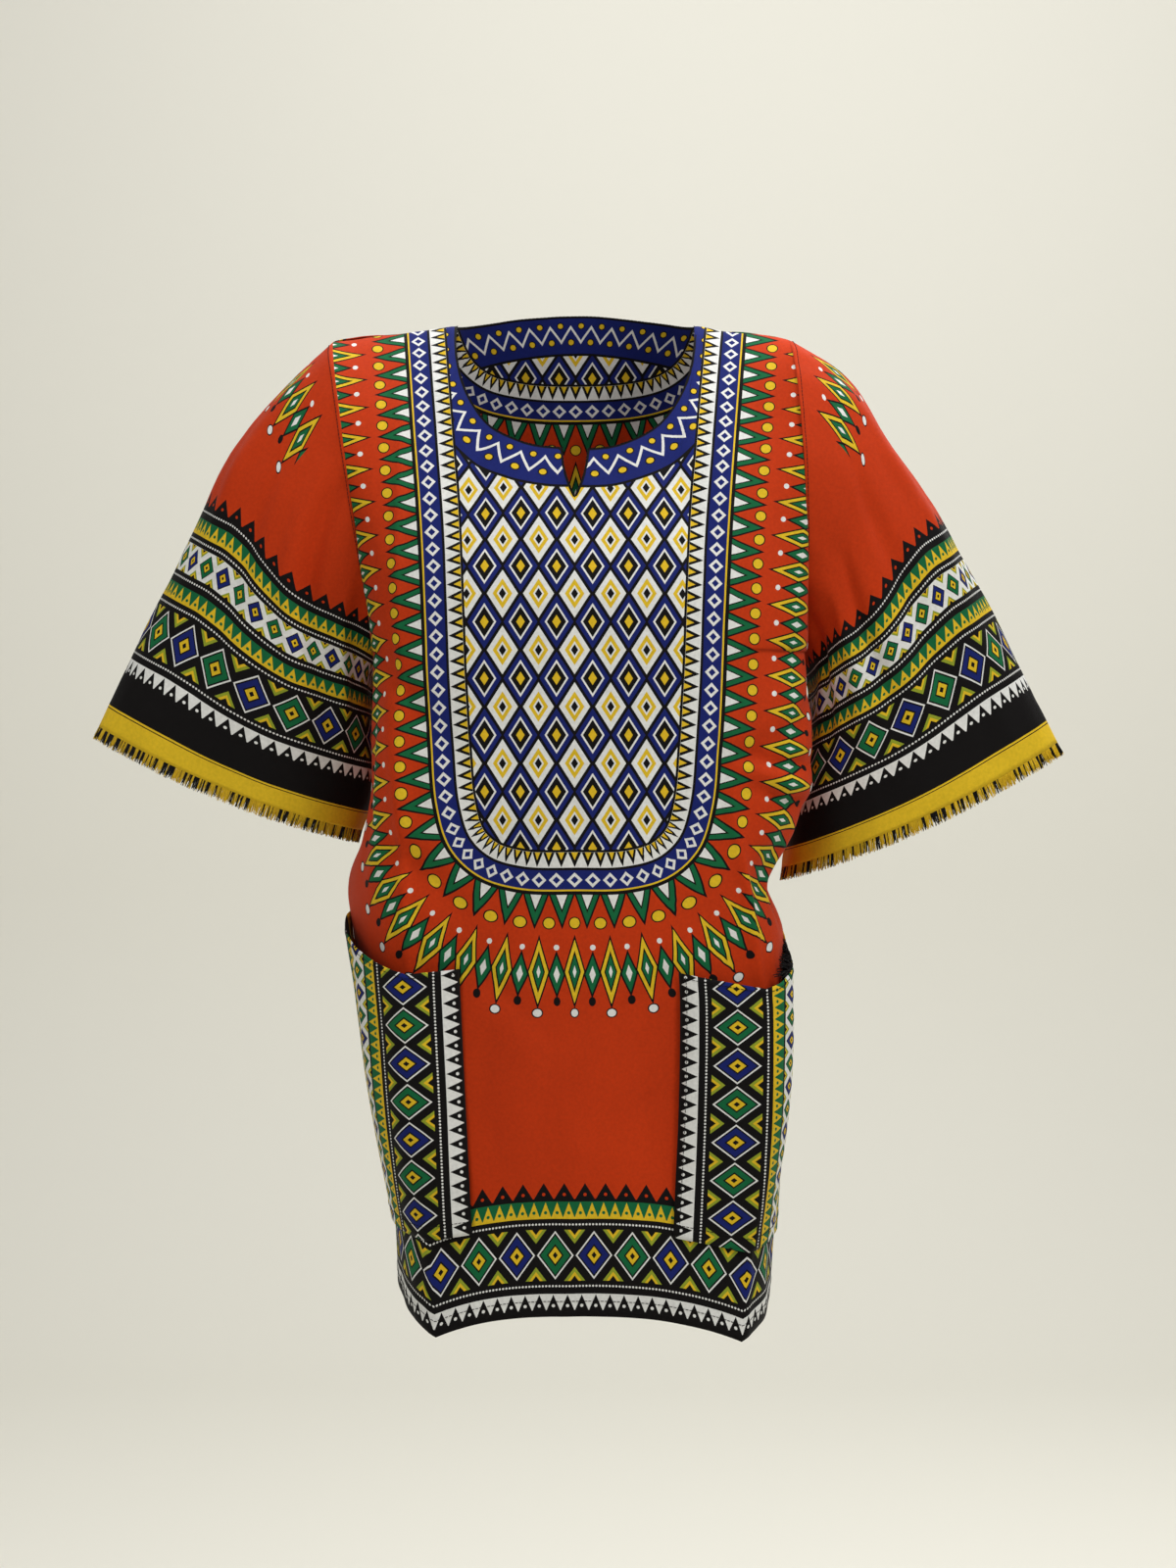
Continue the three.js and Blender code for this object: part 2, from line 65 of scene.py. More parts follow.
def xyz(x: Array, y: Array, z: Array) -> Array:
    """Three grids of numbers as one grid of points."""
    return np.stack(np.broadcast_arrays(x, y, z), axis=-1).astype(float)


def linear(colour: str) -> tuple[float, float, float, float]:
    """Turns an sRGB hex colour to linear RGBA."""
    parts = [int(colour[i : i + 2], 16) / 255 for i in (1, 3, 5)]
    return tuple(c / 12.92 if c <= 0.04045 else ((c + 0.055) / 1.055) ** 2.4 for c in parts) + (1.0,)


@dataclass(frozen=True)
class Curve:
    """A smooth curve through a column of sizes."""

    keys: Array
    values: Array

    def __call__(self, at: Array) -> Array:
        """The curve's value at a key."""
        k, v = self.keys, self.values
        held = np.clip(at, k[0], k[-1])
        i = np.clip(np.searchsorted(k, held, side="right") - 1, 0, len(k) - 2)
        slope = np.gradient(v, k)
        slope[1:-1] = (v[2:] - v[:-2]) / (k[2:] - k[:-2])
        wide = k[i + 1] - k[i]
        t = (held - k[i]) / wide
        rise = (2 * t**3 - 3 * t**2 + 1) * v[i] + (3 * t**2 - 2 * t**3) * v[i + 1]
        return rise + (t**3 - 2 * t**2 + t) * slope[i] * wide + (t**3 - t**2) * slope[i + 1] * wide


def curves(columns: str, rows: Sequence[Sequence[float]]) -> dict[str, Curve]:
    """Turns rows of sizes into one curve for each column, keyed by the first column.

    Args:
        columns: the columns' names, the key first.
        rows: the sizes, in rising order of the key.

    Returns:
        A curve for each column but the key.
    """
    sizes = np.array(rows, float)
    return {name: Curve(sizes[:, 0], sizes[:, i]) for i, name in enumerate(columns.split()) if i}


class Side(Enum):
    """The wearer's two sides. The value is the sign of X."""

    LEFT = 1
    RIGHT = -1

    @property
    def word(self) -> str:
        """The side's name in lower case."""
        return self.name.lower()


class Face(Enum):
    """The front or the back of the dress. The value says how far it faces -Y."""

    FRONT = 1
    BACK = -1


# --- The form of the dress, in millimetres ---------------------------------------------------


@dataclass(frozen=True)
class Armhole:
    """The oval where a sleeve is sewn in, from the shoulder tip to the underarm."""

    tip_x: float
    tip_z: float
    under_x: float
    under_z: float = -262
    front: float = 68
    back: float = 64
    bow: float = 0


@dataclass(frozen=True)
class Form:
    """The surface on which the cloth lies, the same one that the solids follow."""

    neck_half: float = 97
    neck_top: float = 5
    neck_drop: float = 108
    neck_squareness: float = 2.5
    nape_rise: float = 17
    nape_ridge: float = 100
    slit_half: float = 10
    slit_depth: float = 39
    chest_level: float = -230
    blade_level: float = -160
    round_power: float = 1.5
    round_fall: float = 0.75
    side_y: float = 5
    side_round: float = 0.45
    back_swell: float = 2
    swell_fade: float = 4
    droop: float = 2.5
    sleeve_sag: float = 8
    hem: dict = field(
        default_factory=lambda: {
            "middle": -783, "RIGHT_corner": -802, "LEFT_corner": -806, "RIGHT_seam": -763,
            "LEFT_seam": -778, "back_middle": -774, "back_corner": -788,
        }
    )
    armholes: dict = field(
        default_factory=lambda: {
            Side.RIGHT: Armhole(tip_x=-197, tip_z=-8, under_x=-160),
            Side.LEFT: Armhole(tip_x=172, tip_z=-6, under_x=182, bow=6),
        }
    )
    edge_share: dict = field(default_factory=lambda: {Side.RIGHT: 0.7, Side.LEFT: 0.565})
    body: dict = field(
        default_factory=lambda: curves(
            "z RIGHT_seam RIGHT_corner LEFT_corner LEFT_seam front front_corner back back_corner"
            " RIGHT_swell LEFT_swell",
            [
                [-810, -142, -108, 131, 155, 104, 90, 98, 84, 3, 3],
                [-720, -147, -114, 136, 161, 105, 92, 101, 87, 3, 4],
                [-620, -161, -121, 144, 164, 107, 93, 103, 89, 3, 4],
                [-530, -172, -127, 145, 165, 110, 95, 98, 85, 4, 4],
                [-485, -180, -129, 139, 166, 112, 97, 94, 82, 4, 5],
                [-443, -182, -131, 133, 149, 113, 98, 92, 80, 4, 5],
                [-405, -167, -132, 127, 154, 114, 99, 92, 80, 10, 24],
                [-372, -157, -132, 123, 168, 115, 100, 92, 80, 14, 33],
                [-325, -155, -132, 120, 176, 116, 101, 93, 81, 14, 30],
                [-262, -160, -132, 118, 181, 116, 101, 97, 84, 7, 18],
                [-110, -182, -131, 119, 174, 112, 98, 98, 85, 3, 3],
                [10, -197, -134, 124, 172, 110, 97, 96, 84, 0, 0],
            ],
        )
    )
    sleeves: dict = field(
        default_factory=lambda: {
            Side.LEFT: curves(
                "at top_x top_z low_x low_z low_y front back lean",
                [
                    [0, 172, -6, 182, -262, 5, 68, 64, 0],
                    [0.15, 221, -38, 191, -290, 18, 68, 62, 0.05],
                    [0.3, 254, -86, 190, -316, 28, 67, 59, 0.1],
                    [0.5, 299, -152, 186, -350, 34, 64, 55, 0.18],
                    [0.75, 346, -240, 178, -394, 38, 58, 51, 0.27],
                    [1, 393, -334, 172, -437, 42, 52, 47, 0.35],
                ],
            ),
            Side.RIGHT: curves(
                "at top_x top_z low_x low_z low_y front back lean",
                [
                    [0, -197, -8, -160, -262, 5, 68, 64, 0],
                    [0.15, -239, -47, -167, -284, 18, 68, 62, 0.05],
                    [0.3, -278, -96, -167, -306, 27, 67, 59, 0.1],
                    [0.5, -309, -162, -165, -335, 31, 64, 55, 0.18],
                    [0.75, -353, -246, -166, -371, 34, 58, 51, 0.27],
                    [1, -388, -321, -177, -406, 36, 52, 47, 0.35],
                ],
            ),
        }
    )

    def shoulder_line(self, side: Side, x: Array) -> Array:
        """The height of the shoulder seam at a distance from the middle."""
        tip = self.armholes[side]
        out = np.clip((np.abs(x) - self.neck_half) / (abs(tip.tip_x) - self.neck_half), 0, 1)
        return lerp(self.neck_top, tip.tip_z, out)

    def front_neck(self, x: Array) -> Array:
        """The front neckline's height, with the slit in its middle."""
        share, square = np.minimum(1, np.abs(x) / self.neck_half), self.neck_squareness
        scoop = self.neck_top - self.neck_drop * (1 - share**square) ** (1 / square)
        return scoop - self.slit_depth * np.sqrt(np.maximum(0, 1 - np.abs(x) / self.slit_half))

    def nape_share(self, x: Array) -> Array:
        """How much of its rise the nape has at a distance from the middle."""
        return np.maximum(0, 1 - (x / self.neck_half) ** 2)

    def rounded_off(self, z: Array, level: float, ridge: Array) -> Array:
        """The share of its depth that the cloth keeps on its way up to the shoulder seam."""
        rise = np.clip((z - level) / (ridge - level), 0, 1)
        return np.maximum(0, 1 - rise**self.round_power) ** self.round_fall

    def armhole(self, side: Side, turn: Array) -> Array:
        """A point of an armhole's edge: turn 0 is the shoulder tip, pi the underarm."""
        a = self.armholes[side]
        along = (1 - np.cos(turn)) / 2
        ahead = np.maximum(0, np.sin(turn))
        forward = np.sin(turn) * np.where(np.sin(turn) >= 0, a.front, a.back)
        x = lerp(a.tip_x, a.under_x, along) + side.value * a.bow * ahead
        return xyz(x, self.side_y * along - forward, lerp(a.tip_z, a.under_z, along))

    def face_point(self, side: Side, face: Face, share: Array, z: Array) -> Array:
        """The cloth between the middle (share 0) and the pressed corner (share 1)."""
        x = share * self.body[f"{side.name}_corner"](z)
        front = face is Face.FRONT
        names = ("front", "front_corner") if front else ("back", "back_corner")
        deep = lerp(self.body[names[0]](z), self.body[names[1]](z), share**2)
        ridge = self.shoulder_line(side, x) + (0 if front else self.nape_ridge * self.nape_share(x))
        kept = self.rounded_off(z, self.chest_level if front else self.blade_level, ridge)
        return xyz(x, -face.value * deep * kept, z)

    def side_point(self, corner: Array, edge: Array, share: Array, swell: Array) -> Array:
        """The cloth between the pressed corner and the panel's edge, in a round bend."""
        out = 1 - (1 - share) ** (1 + self.side_round)
        back = share ** (1 + self.side_round)
        x = lerp(corner[..., 0], edge[..., 0], out)
        x = x + np.sign(corner[..., 0]) * swell * np.sin(np.pi * share)
        return xyz(x, lerp(corner[..., 1], edge[..., 1], back), lerp(corner[..., 2], edge[..., 2], share))

    def low_side(self, side: Side, face: Face, share: Array, z: Array) -> Array:
        """The side of the body below the underarm."""
        edge = xyz(self.body[f"{side.name}_seam"](z), self.side_y, z)
        swell = self.body[f"{side.name}_swell"](z) if face is Face.FRONT else self.back_swell
        return self.side_point(self.face_point(side, face, 1.0, z), edge, share, swell)

    def sleeve_point(self, side: Side, at: Array, turn: Array) -> Array:
        """A sleeve's ring point: at 0 is the armhole, turn 0 the outer fold, pi the underarm."""
        a = self.armholes[side]
        value = {name: curve(at) for name, curve in self.sleeves[side].items()}
        along = (1 - np.cos(turn)) / 2
        ahead = np.maximum(0, np.sin(turn))
        deep = np.where(np.sin(turn) >= 0, value["front"], value["back"]) * (1 - value["lean"] * np.cos(turn))
        x = lerp(value["top_x"], value["low_x"], along) + side.value * a.bow * (1 - at) * ahead
        y = value["low_y"] * along - np.sin(turn) * deep
        sag = self.sleeve_sag * at * np.sin(turn) ** 2
        return xyz(x, y, lerp(value["top_z"], value["low_z"], along) - sag)


# --- Folds: soft troughs and ridges ------------------------------------------------------------


@dataclass(frozen=True)
class Fold:
    """One soft trough (depth below 0) or ridge (above 0), in the cloth's own millimetres."""

    start: tuple[float, float]
    end: tuple[float, float]
    width: float
    depth: float
    bend: float = 0.0
    fade: float = 1.5
    at_ends: float = 0.35

    def lift(self, across: Array, up: Array) -> Array:
        """How far the fold moves the cloth out at each of its places."""
        run = np.array(self.end, float) - np.array(self.start, float)
        length = float(np.hypot(*run))
        run /= length
        dx, dy = across - self.start[0], up - self.start[1]
        t = (dx * run[0] + dy * run[1]) / length
        held = np.clip(t, 0, 1)
        beside = dx * -run[1] + dy * run[0] - self.bend * np.sin(np.pi * held)
        beyond = (t - held) * length
        swell = self.at_ends + (1 - self.at_ends) * np.sin(np.pi * held)
        fade = np.exp(-((beyond / (self.fade * self.width)) ** 2)) * swell
        return self.depth * fade * np.exp(-((beside / self.width) ** 2))


# The swells of hung cloth: the share of the unevenness, the width, the length and the seed's shift.
SWELLS = ((1.0, 52, 130, 0), (0.4, 22, 48, 9), (0.12, 11, 16, 19))


def folded(points: Array, coords: Array, folds: Iterable[Fold], unevenness: float, seed: float) -> Array:
    """Moves cloth out and in along its folds, with a slight unevenness all over.

    Args:
        points: rows of points, in millimetres.
        coords: the cloth's own coordinates at each point.
        folds: the folds to lay.
        unevenness: the height of the random swells, in millimetres.
        seed: a number that shifts the random swells.

    Returns:
        The moved points.
    """
    lift = np.zeros(points.shape[:2])
    for fold in folds:
        lift += fold.lift(coords[..., 0], coords[..., 1])
    for r, c in np.ndindex(lift.shape):
        u, v = coords[r, c, 0], coords[r, c, 1]
        for share, wide, long, shift in SWELLS:
            lift[r, c] += share * unevenness * noise.noise(Vector((u / wide, v / long, seed + shift)))
    return points + normals(points) * lift[..., None]


def normals(points: Array) -> Array:
    """The outward direction at each point of a grid of rows."""
    across = np.gradient(points, axis=1)
    along = np.gradient(points, axis=0)
    square = np.cross(across, along)
    return square / np.maximum(np.linalg.norm(square, axis=-1, keepdims=True), 1e-9)


# --- Colours and shader arithmetic ---------------------------------------------------------------


class Ink(Enum):
    """The dyes of the print, as sRGB hex."""

    ORANGE = "#BC3405"
    BLACK = "#0B0808"
    WHITE = "#DEDEDA"
    YELLOW = "#DAB523"
    GREEN = "#0E6239"
    LIME = "#8E9A2A"
    BLUE = "#131F66"


def node(
    tree: bpy.types.NodeTree, kind: str, settings: Optional[dict] = None, inputs: Optional[dict] = None
) -> bpy.types.Node:
    """Adds a node with its settings, values and links.

    Args:
        tree: the tree that the node goes into.
        kind: Blender's name of the node's type.
        settings: the node's properties.
        inputs: a value or an output socket for each input, by name or number.

    Returns:
        The node.
    """
    made = tree.nodes.new(kind)
    for key, value in (settings or {}).items():
        setattr(made, key, value)
    for key, value in (inputs or {}).items():
        if isinstance(value, bpy.types.NodeSocket):
            tree.links.new(value, made.inputs[key])
        else:
            made.inputs[key].default_value = value
    return made


Number = Union["Term", float]


def operation(name: str) -> Callable[["Term", Number], "Term"]:
    """A method that joins a term and a number, or another term, in one Math node."""
    return lambda term, other: term.math(name, other)


@dataclass(frozen=True)
class Term:
    """A number that varies over the cloth. Arithmetic adds Math nodes, and a comparison gives a mask."""

    tree: bpy.types.NodeTree
    socket: bpy.types.NodeSocket

    def math(self, operation: str, *others: Number) -> "Term":
        """The result of one Math node."""
        inputs = {0: self.socket}
        for i, other in enumerate(others, start=1):
            inputs[i] = other.socket if isinstance(other, Term) else other
        made = node(self.tree, "ShaderNodeMath", {"operation": operation}, inputs)
        return Term(self.tree, made.outputs[0])

    __add__ = operation("ADD")
    __sub__ = operation("SUBTRACT")
    __mul__ = operation("MULTIPLY")
    __truediv__ = operation("DIVIDE")
    __lt__ = operation("LESS_THAN")
    __gt__ = operation("GREATER_THAN")
    __and__ = operation("MULTIPLY")  # of masks: where both hold

    def __abs__(self) -> "Term":
        """The size without its sign."""
        return self.math("ABSOLUTE")

    def repeat(self, pitch: float, start: float = 0.0) -> "Term":
        """The distance from the middle of its own repeat, along a row of repeats."""
        return (((self - start) / pitch).math("FRACT") - 0.5) * pitch

    def band(self, low: float, high: float) -> "Term":
        """The mask between two values."""
        return abs(self - (low + high) / 2) < (high - low) / 2


def lozenge(x: Term, y: Term, half_wide: float, half_high: float) -> Term:
    """How far out a place lies in a lozenge round (0, 0), where 1 is its edge."""
    return abs(x) / half_wide + abs(y) / half_high


# Where inks of a nested form end, as shares of its reach from the outside in.
Shares = Sequence[tuple[float, Ink]]


class Painter:
    """Lays inks over each other on one material's ground."""

    def __init__(self, tree: bpy.types.NodeTree, ground: Ink) -> None:
        """Starts from the ground's colour."""
        self.tree = tree
        self.colour = linear(ground.value)

    def _mix(self, mask: Term, colour: object) -> None:
        """Lays a colour, or the socket of one, over what is printed so far."""
        inputs = {0: mask.socket, 6: self.colour, 7: colour}
        self.colour = node(self.tree, "ShaderNodeMix", {"data_type": "RGBA"}, inputs).outputs[2]

    def ink(self, mask: Term, ink: Ink) -> None:
        """Prints one ink where the mask holds."""
        self._mix(mask, linear(ink.value))

    def ramp(self, height: Term, layers: Sequence[tuple[float, Ink]], top: float, within: Term) -> None:
        """Prints flat bands from a list of heights where each ink starts.

        Args:
            height: the height above the first band's foot.
            layers: where each ink starts, in rising order, the first at 0.
            top: the height where the last band ends.
            within: the mask that the bands keep to.
        """
        made = node(self.tree, "ShaderNodeValToRGB", None, {0: (height / top).socket})
        stops = made.color_ramp
        stops.interpolation = "CONSTANT"
        while len(stops.elements) < len(layers):
            stops.elements.new(1.0)
        for element, (start, ink) in zip(stops.elements, layers):
            element.position = start / top
            element.color = linear(ink.value)
        self._mix(within, made.outputs[0])

    def nested(self, reach: Term, shares: Shares, within: Term) -> None:
        """Prints a form's inks over each other, each where the reach is below its share."""
        for share, ink in shares:
            self.ink((reach < share) & within, ink)

    def oval(
        self, x: Term, y: Term, sizes: tuple[float, float], ink: Ink, within: Term, rim: float = 0
    ) -> None:
        """Prints an oval round the place where x and y are 0.

        Args:
            x: the distance along its row.
            y: the distance across its row.
            sizes: the oval's half width and half height.
            ink: its ink.
            within: the mask that it keeps to.
            rim: the width of its black outline, if it has one.
        """
        across, up = x / sizes[0], y / sizes[1]
        radius = (across * across + up * up).math("SQRT")
        if rim:
            self.ink((radius < 1 + rim / sizes[1]) & within, Ink.BLACK)
        self.ink((radius < 1) & within, ink)


# --- Printed stripes and borders ------------------------------------------------------------------


class Motif(Enum):
    """What a stripe of a border holds."""

    PLAIN = "plain"
    DOTS = "dots"
    TEETH = "teeth"
    LOZENGES = "lozenges"


@dataclass(frozen=True)
class Stripe:
    """One stripe of a border: its width, its ground and what is printed on it."""

    width: float
    ground: Ink
    motif: Motif = Motif.PLAIN
    ink: Ink = Ink.WHITE
    pitch: float = 6.0


@dataclass(frozen=True)
class Border:
    """Stripes that follow an edge of the cloth, from the edge inwards."""

    stripes: tuple[Stripe, ...]
    dot: float = 0.85
    tooth_height: float = 0.97
    tooth_dot: float = 1.3
    tooth_dot_drop: float = 0.42
    ring: tuple[float, float] = (0.46, 0.8)
    gap_wide: float = 0.3
    gap_high: float = 0.6

    @property
    def width(self) -> float:
        """The whole border's width."""
        return sum(stripe.width for stripe in self.stripes)

    def print(self, painter: Painter, along: Term, height: Term, within: Term) -> None:
        """Prints the border.

        Args:
            painter: the material's painter.
            along: the distance along the edge.
            height: the distance from the edge.
            within: the mask that the border keeps to.
        """
        layers, foot = [], 0.0
        for stripe in self.stripes:
            layers.append((foot, stripe.ground))
            foot += stripe.width
        inside = (height < foot) & within & (height > 0)
        painter.ramp(height, layers, foot, inside)
        foot = 0.0
        for stripe in self.stripes:
            if stripe.motif is not Motif.PLAIN:
                self._motif(painter, stripe, along, height - (foot + stripe.width / 2), inside)
            foot += stripe.width

    def _motif(self, painter: Painter, stripe: Stripe, along: Term, y: Term, inside: Term) -> None:
        """Prints one stripe's motif round the stripe's middle line."""
        half = stripe.width / 2
        x = along.repeat(stripe.pitch)
        row = inside & (abs(y) < half)
        if stripe.motif is Motif.DOTS:
            painter.oval(x, y, (self.dot, self.dot), stripe.ink, row)
        elif stripe.motif is Motif.TEETH:
            reach = abs(x) * (2 / stripe.pitch) + (y + half) / stripe.width
            painter.ink((reach < self.tooth_height) & row, stripe.ink)
            low = y + half * self.tooth_dot_drop
            painter.oval(x, low, (self.tooth_dot, self.tooth_dot), stripe.ground, row)
        elif stripe.motif is Motif.LOZENGES:
            self._lozenges(painter, stripe, along, y, row)

    def _lozenges(self, painter: Painter, stripe: Stripe, along: Term, y: Term, row: Term) -> None:
        """Prints a row of nested lozenges in two inks by turns, with small teeth in the gaps."""
        half, pitch = stripe.width / 2, stripe.pitch
        inner, outer = self.ring
        reach = lozenge(along.repeat(pitch), y, pitch / 2.1, half * 0.95)
        outside = ((1.0, Ink.WHITE), (0.9, Ink.BLACK), (outer, stripe.ink))
        painter.nested(reach, (*outside, (inner, Ink.BLACK), (0.36, Ink.YELLOW), (0.14, Ink.BLACK)), row)
        turn = (along / (2 * pitch)).math("FRACT") < 0.5
        painter.ink(reach.band(inner, outer) & turn & row, Ink.BLUE)
        between, from_edge = (along + pitch / 2).repeat(pitch), abs(y) * -1 + half
        gap = lozenge(between, from_edge, pitch * self.gap_wide, half * self.gap_high)
        painter.nested(gap, ((0.9, Ink.LIME), (0.6, Ink.YELLOW), (0.34, Ink.BLACK)), row)


DOTTED_RULE = Stripe(8.3, Ink.BLACK, Motif.DOTS, Ink.WHITE, 2.6)
YELLOW_LINE = Stripe(1.4, Ink.YELLOW)
BLACK_LINE = Stripe(2, Ink.BLACK)
WHITE_TEETH = (BLACK_LINE, Stripe(13, Ink.WHITE, Motif.TEETH, Ink.BLACK, 11), BLACK_LINE)
GREEN_TEETH = (YELLOW_LINE, Stripe(12, Ink.GREEN, Motif.TEETH, Ink.YELLOW, 9), BLACK_LINE)
LOZENGES = (DOTTED_RULE, Stripe(40, Ink.BLACK, Motif.LOZENGES, Ink.GREEN, 30), DOTTED_RULE)
SMALL_LOZENGES = Stripe(24, Ink.WHITE, Motif.LOZENGES, Ink.GREEN, 18)
OUTER_TEETH = Stripe(13, Ink.ORANGE, Motif.TEETH, Ink.BLACK, 16)
HEM_BORDER = Border((Stripe(3, Ink.BLACK), *WHITE_TEETH, *LOZENGES, *GREEN_TEETH, OUTER_TEETH))
CUFF_BORDER = Border(
    (Stripe(17, Ink.YELLOW), Stripe(1, Ink.BLACK), YELLOW_LINE, Stripe(27, Ink.BLACK), *WHITE_TEETH)
    + (*LOZENGES, *GREEN_TEETH, DOTTED_RULE, SMALL_LOZENGES)
    + (DOTTED_RULE, *GREEN_TEETH, DOTTED_RULE, OUTER_TEETH)
)
POCKET_BORDER = Border(
    (*WHITE_TEETH, *LOZENGES, *GREEN_TEETH, SMALL_LOZENGES, *GREEN_TEETH)
    + (DOTTED_RULE, Stripe(29, Ink.BLACK), Stripe(20, Ink.YELLOW))
)


@dataclass(frozen=True)
class Sunburst:
    """Teeth with discs between them along an edge, and a ring of long lozenges beyond."""

    tooth: tuple[float, float] = (10, 27)
    long: tuple[float, float] = (7.5, 25)
    short: tuple[float, float] = (5.5, 15)
    pitch: float = 28
    line: float = 55
    rim: float = 0.9
    disc_out: float = 22
    long_out: float = 60
    short_out: float = 62
    tip_out: float = 92
    short_tip_out: float = 83
    dot_out: float = 41

    def teeth(self, painter: Painter, along: Term, out: Term, within: Term) -> None:
        """Prints the close row of nested teeth, with a disc between each two."""
        half, high = self.tooth
        inks = ((1.0, Ink.BLACK), (0.86, Ink.GREEN), (0.52, Ink.BLACK), (0.42, Ink.WHITE))
        painter.nested(lozenge(along.repeat(2 * half), out, half, high), inks, within)
        between = (along + half).repeat(2 * half)
        painter.oval(between, out - self.disc_out, (4, 4), Ink.YELLOW, within, self.rim)

    def rays(self, painter: Painter, along: Term, out: Term, within: Term) -> None:
        """Prints the long and the short lozenges in turn, each with a disc at its tip.

        Args:
            painter: the material's painter.
            along: the way along the ring's own line.
            out: the distance out from the edge. The ring's own line runs self.line away from it.
            within: the mask that the ring keeps to.
        """
        x = along.repeat(self.pitch, -self.pitch / 2)
        beside = (along + self.pitch / 2).repeat(self.pitch, -self.pitch / 2)
        outer = ((1.16, Ink.BLACK), (1.0, Ink.YELLOW))
        tall = lozenge(x, out - self.long_out, *self.long)
        painter.nested(tall, (*outer, (0.66, Ink.BLACK), (0.52, Ink.GREEN), (0.2, Ink.WHITE)), within)
        low = lozenge(beside, out - self.short_out, *self.short)
        painter.nested(low, ((1.25, Ink.BLACK), (1.0, Ink.GREEN), (0.45, Ink.WHITE)), within)
        painter.oval(x, out - self.tip_out, (3, 3), Ink.WHITE, within, self.rim)
        painter.oval(beside, out - self.dot_out, (2.2, 2.2), Ink.WHITE, within)
        painter.oval(beside, out - self.short_tip_out, (2.6, 3.6), Ink.BLACK, within)


def smoothed(line: Array, pitch: float = 1.0) -> Array:
    """Close points on a smooth curve through a line's own points."""
    gone = np.concatenate([[0], np.cumsum(np.hypot(*np.diff(line, axis=0).T))])
    at = np.linspace(0, gone[-1], int(gone[-1] / pitch))
    return np.stack([Curve(gone, line[:, 0])(at), Curve(gone, line[:, 1])(at)], axis=1)


def beside_line(line: Array, x: Array, y: Array) -> tuple[Array, Array]:
    """Measures places of the cloth against a line on it.

    Args:
        line: the line's points.
        x: the places' distances across.
        y: the places' heights.

    Returns:
        The way along the line to the nearest point of it, and the distance from it, which is above 0
        to the right of the line's run.
    """
    start, run = line[:-1], np.diff(line, axis=0)
    length = np.maximum(np.hypot(run[:, 0], run[:, 1]), 1e-6)
    passed = np.concatenate([[0], np.cumsum(length)[:-1]])
    best = np.full(x.shape, np.inf)
    along, out = np.zeros(x.shape), np.zeros(x.shape)
    for (sx, sy), (rx, ry), long, gone in zip(start, run, length, passed):
        dx, dy = x - sx, y - sy
        t = np.clip((dx * rx + dy * ry) / long**2, 0, 1)
        away = np.hypot(dx - t * rx, dy - t * ry)
        nearer = away < best
        best = np.where(nearer, away, best)
        along = np.where(nearer, gone + t * long, along)
        out = np.where(nearer, np.where((dx * ry - dy * rx) > 0, away, -away), out)
    return along, out


@dataclass(frozen=True)
class Bib:
    """The printed panel round the neck: straight sides and a round foot, in the cloth's millimetres."""

    half_points: tuple[tuple[float, float], ...]
    steps: int = 14

    def beyond(self, out: float) -> Array:
        """A line that runs beside the panel's edge, at a distance out from it."""
        line = self.outline()
        run = np.gradient(line, axis=0)
        run[0] = (1, 0)
        run /= np.hypot(run[:, 0], run[:, 1])[:, None]
        return line + out * np.stack([run[:, 1], -run[:, 0]], axis=1)

    def outline(self) -> Array:
        """The panel's edge from its foot up one side, as a close row of points."""
        mirrored = (-self.half_points[1][0], self.half_points[1][1])
        points = np.array((mirrored,) + self.half_points, float)
        at = np.arange(-1.0, len(self.half_points))
        fine = np.linspace(0, at[-1], int(at[-1]) * self.steps + 1)
        return np.stack([Curve(at, points[:, 0])(fine), Curve(at, points[:, 1])(fine)], axis=1)


FRONT_BIB = Bib(
    ((0, -454), (42, -453), (76, -443), (100, -420), (111, -385), (115, -340), (118, -290), (121, -220),
     (125, -150), (130, -90), (136, -20), (141, 40), (146, 110))
)
BACK_BIB = Bib(((0, -62), (50, -60), (88, -50), (116, -26), (132, 14), (141, 60), (146, 150)))


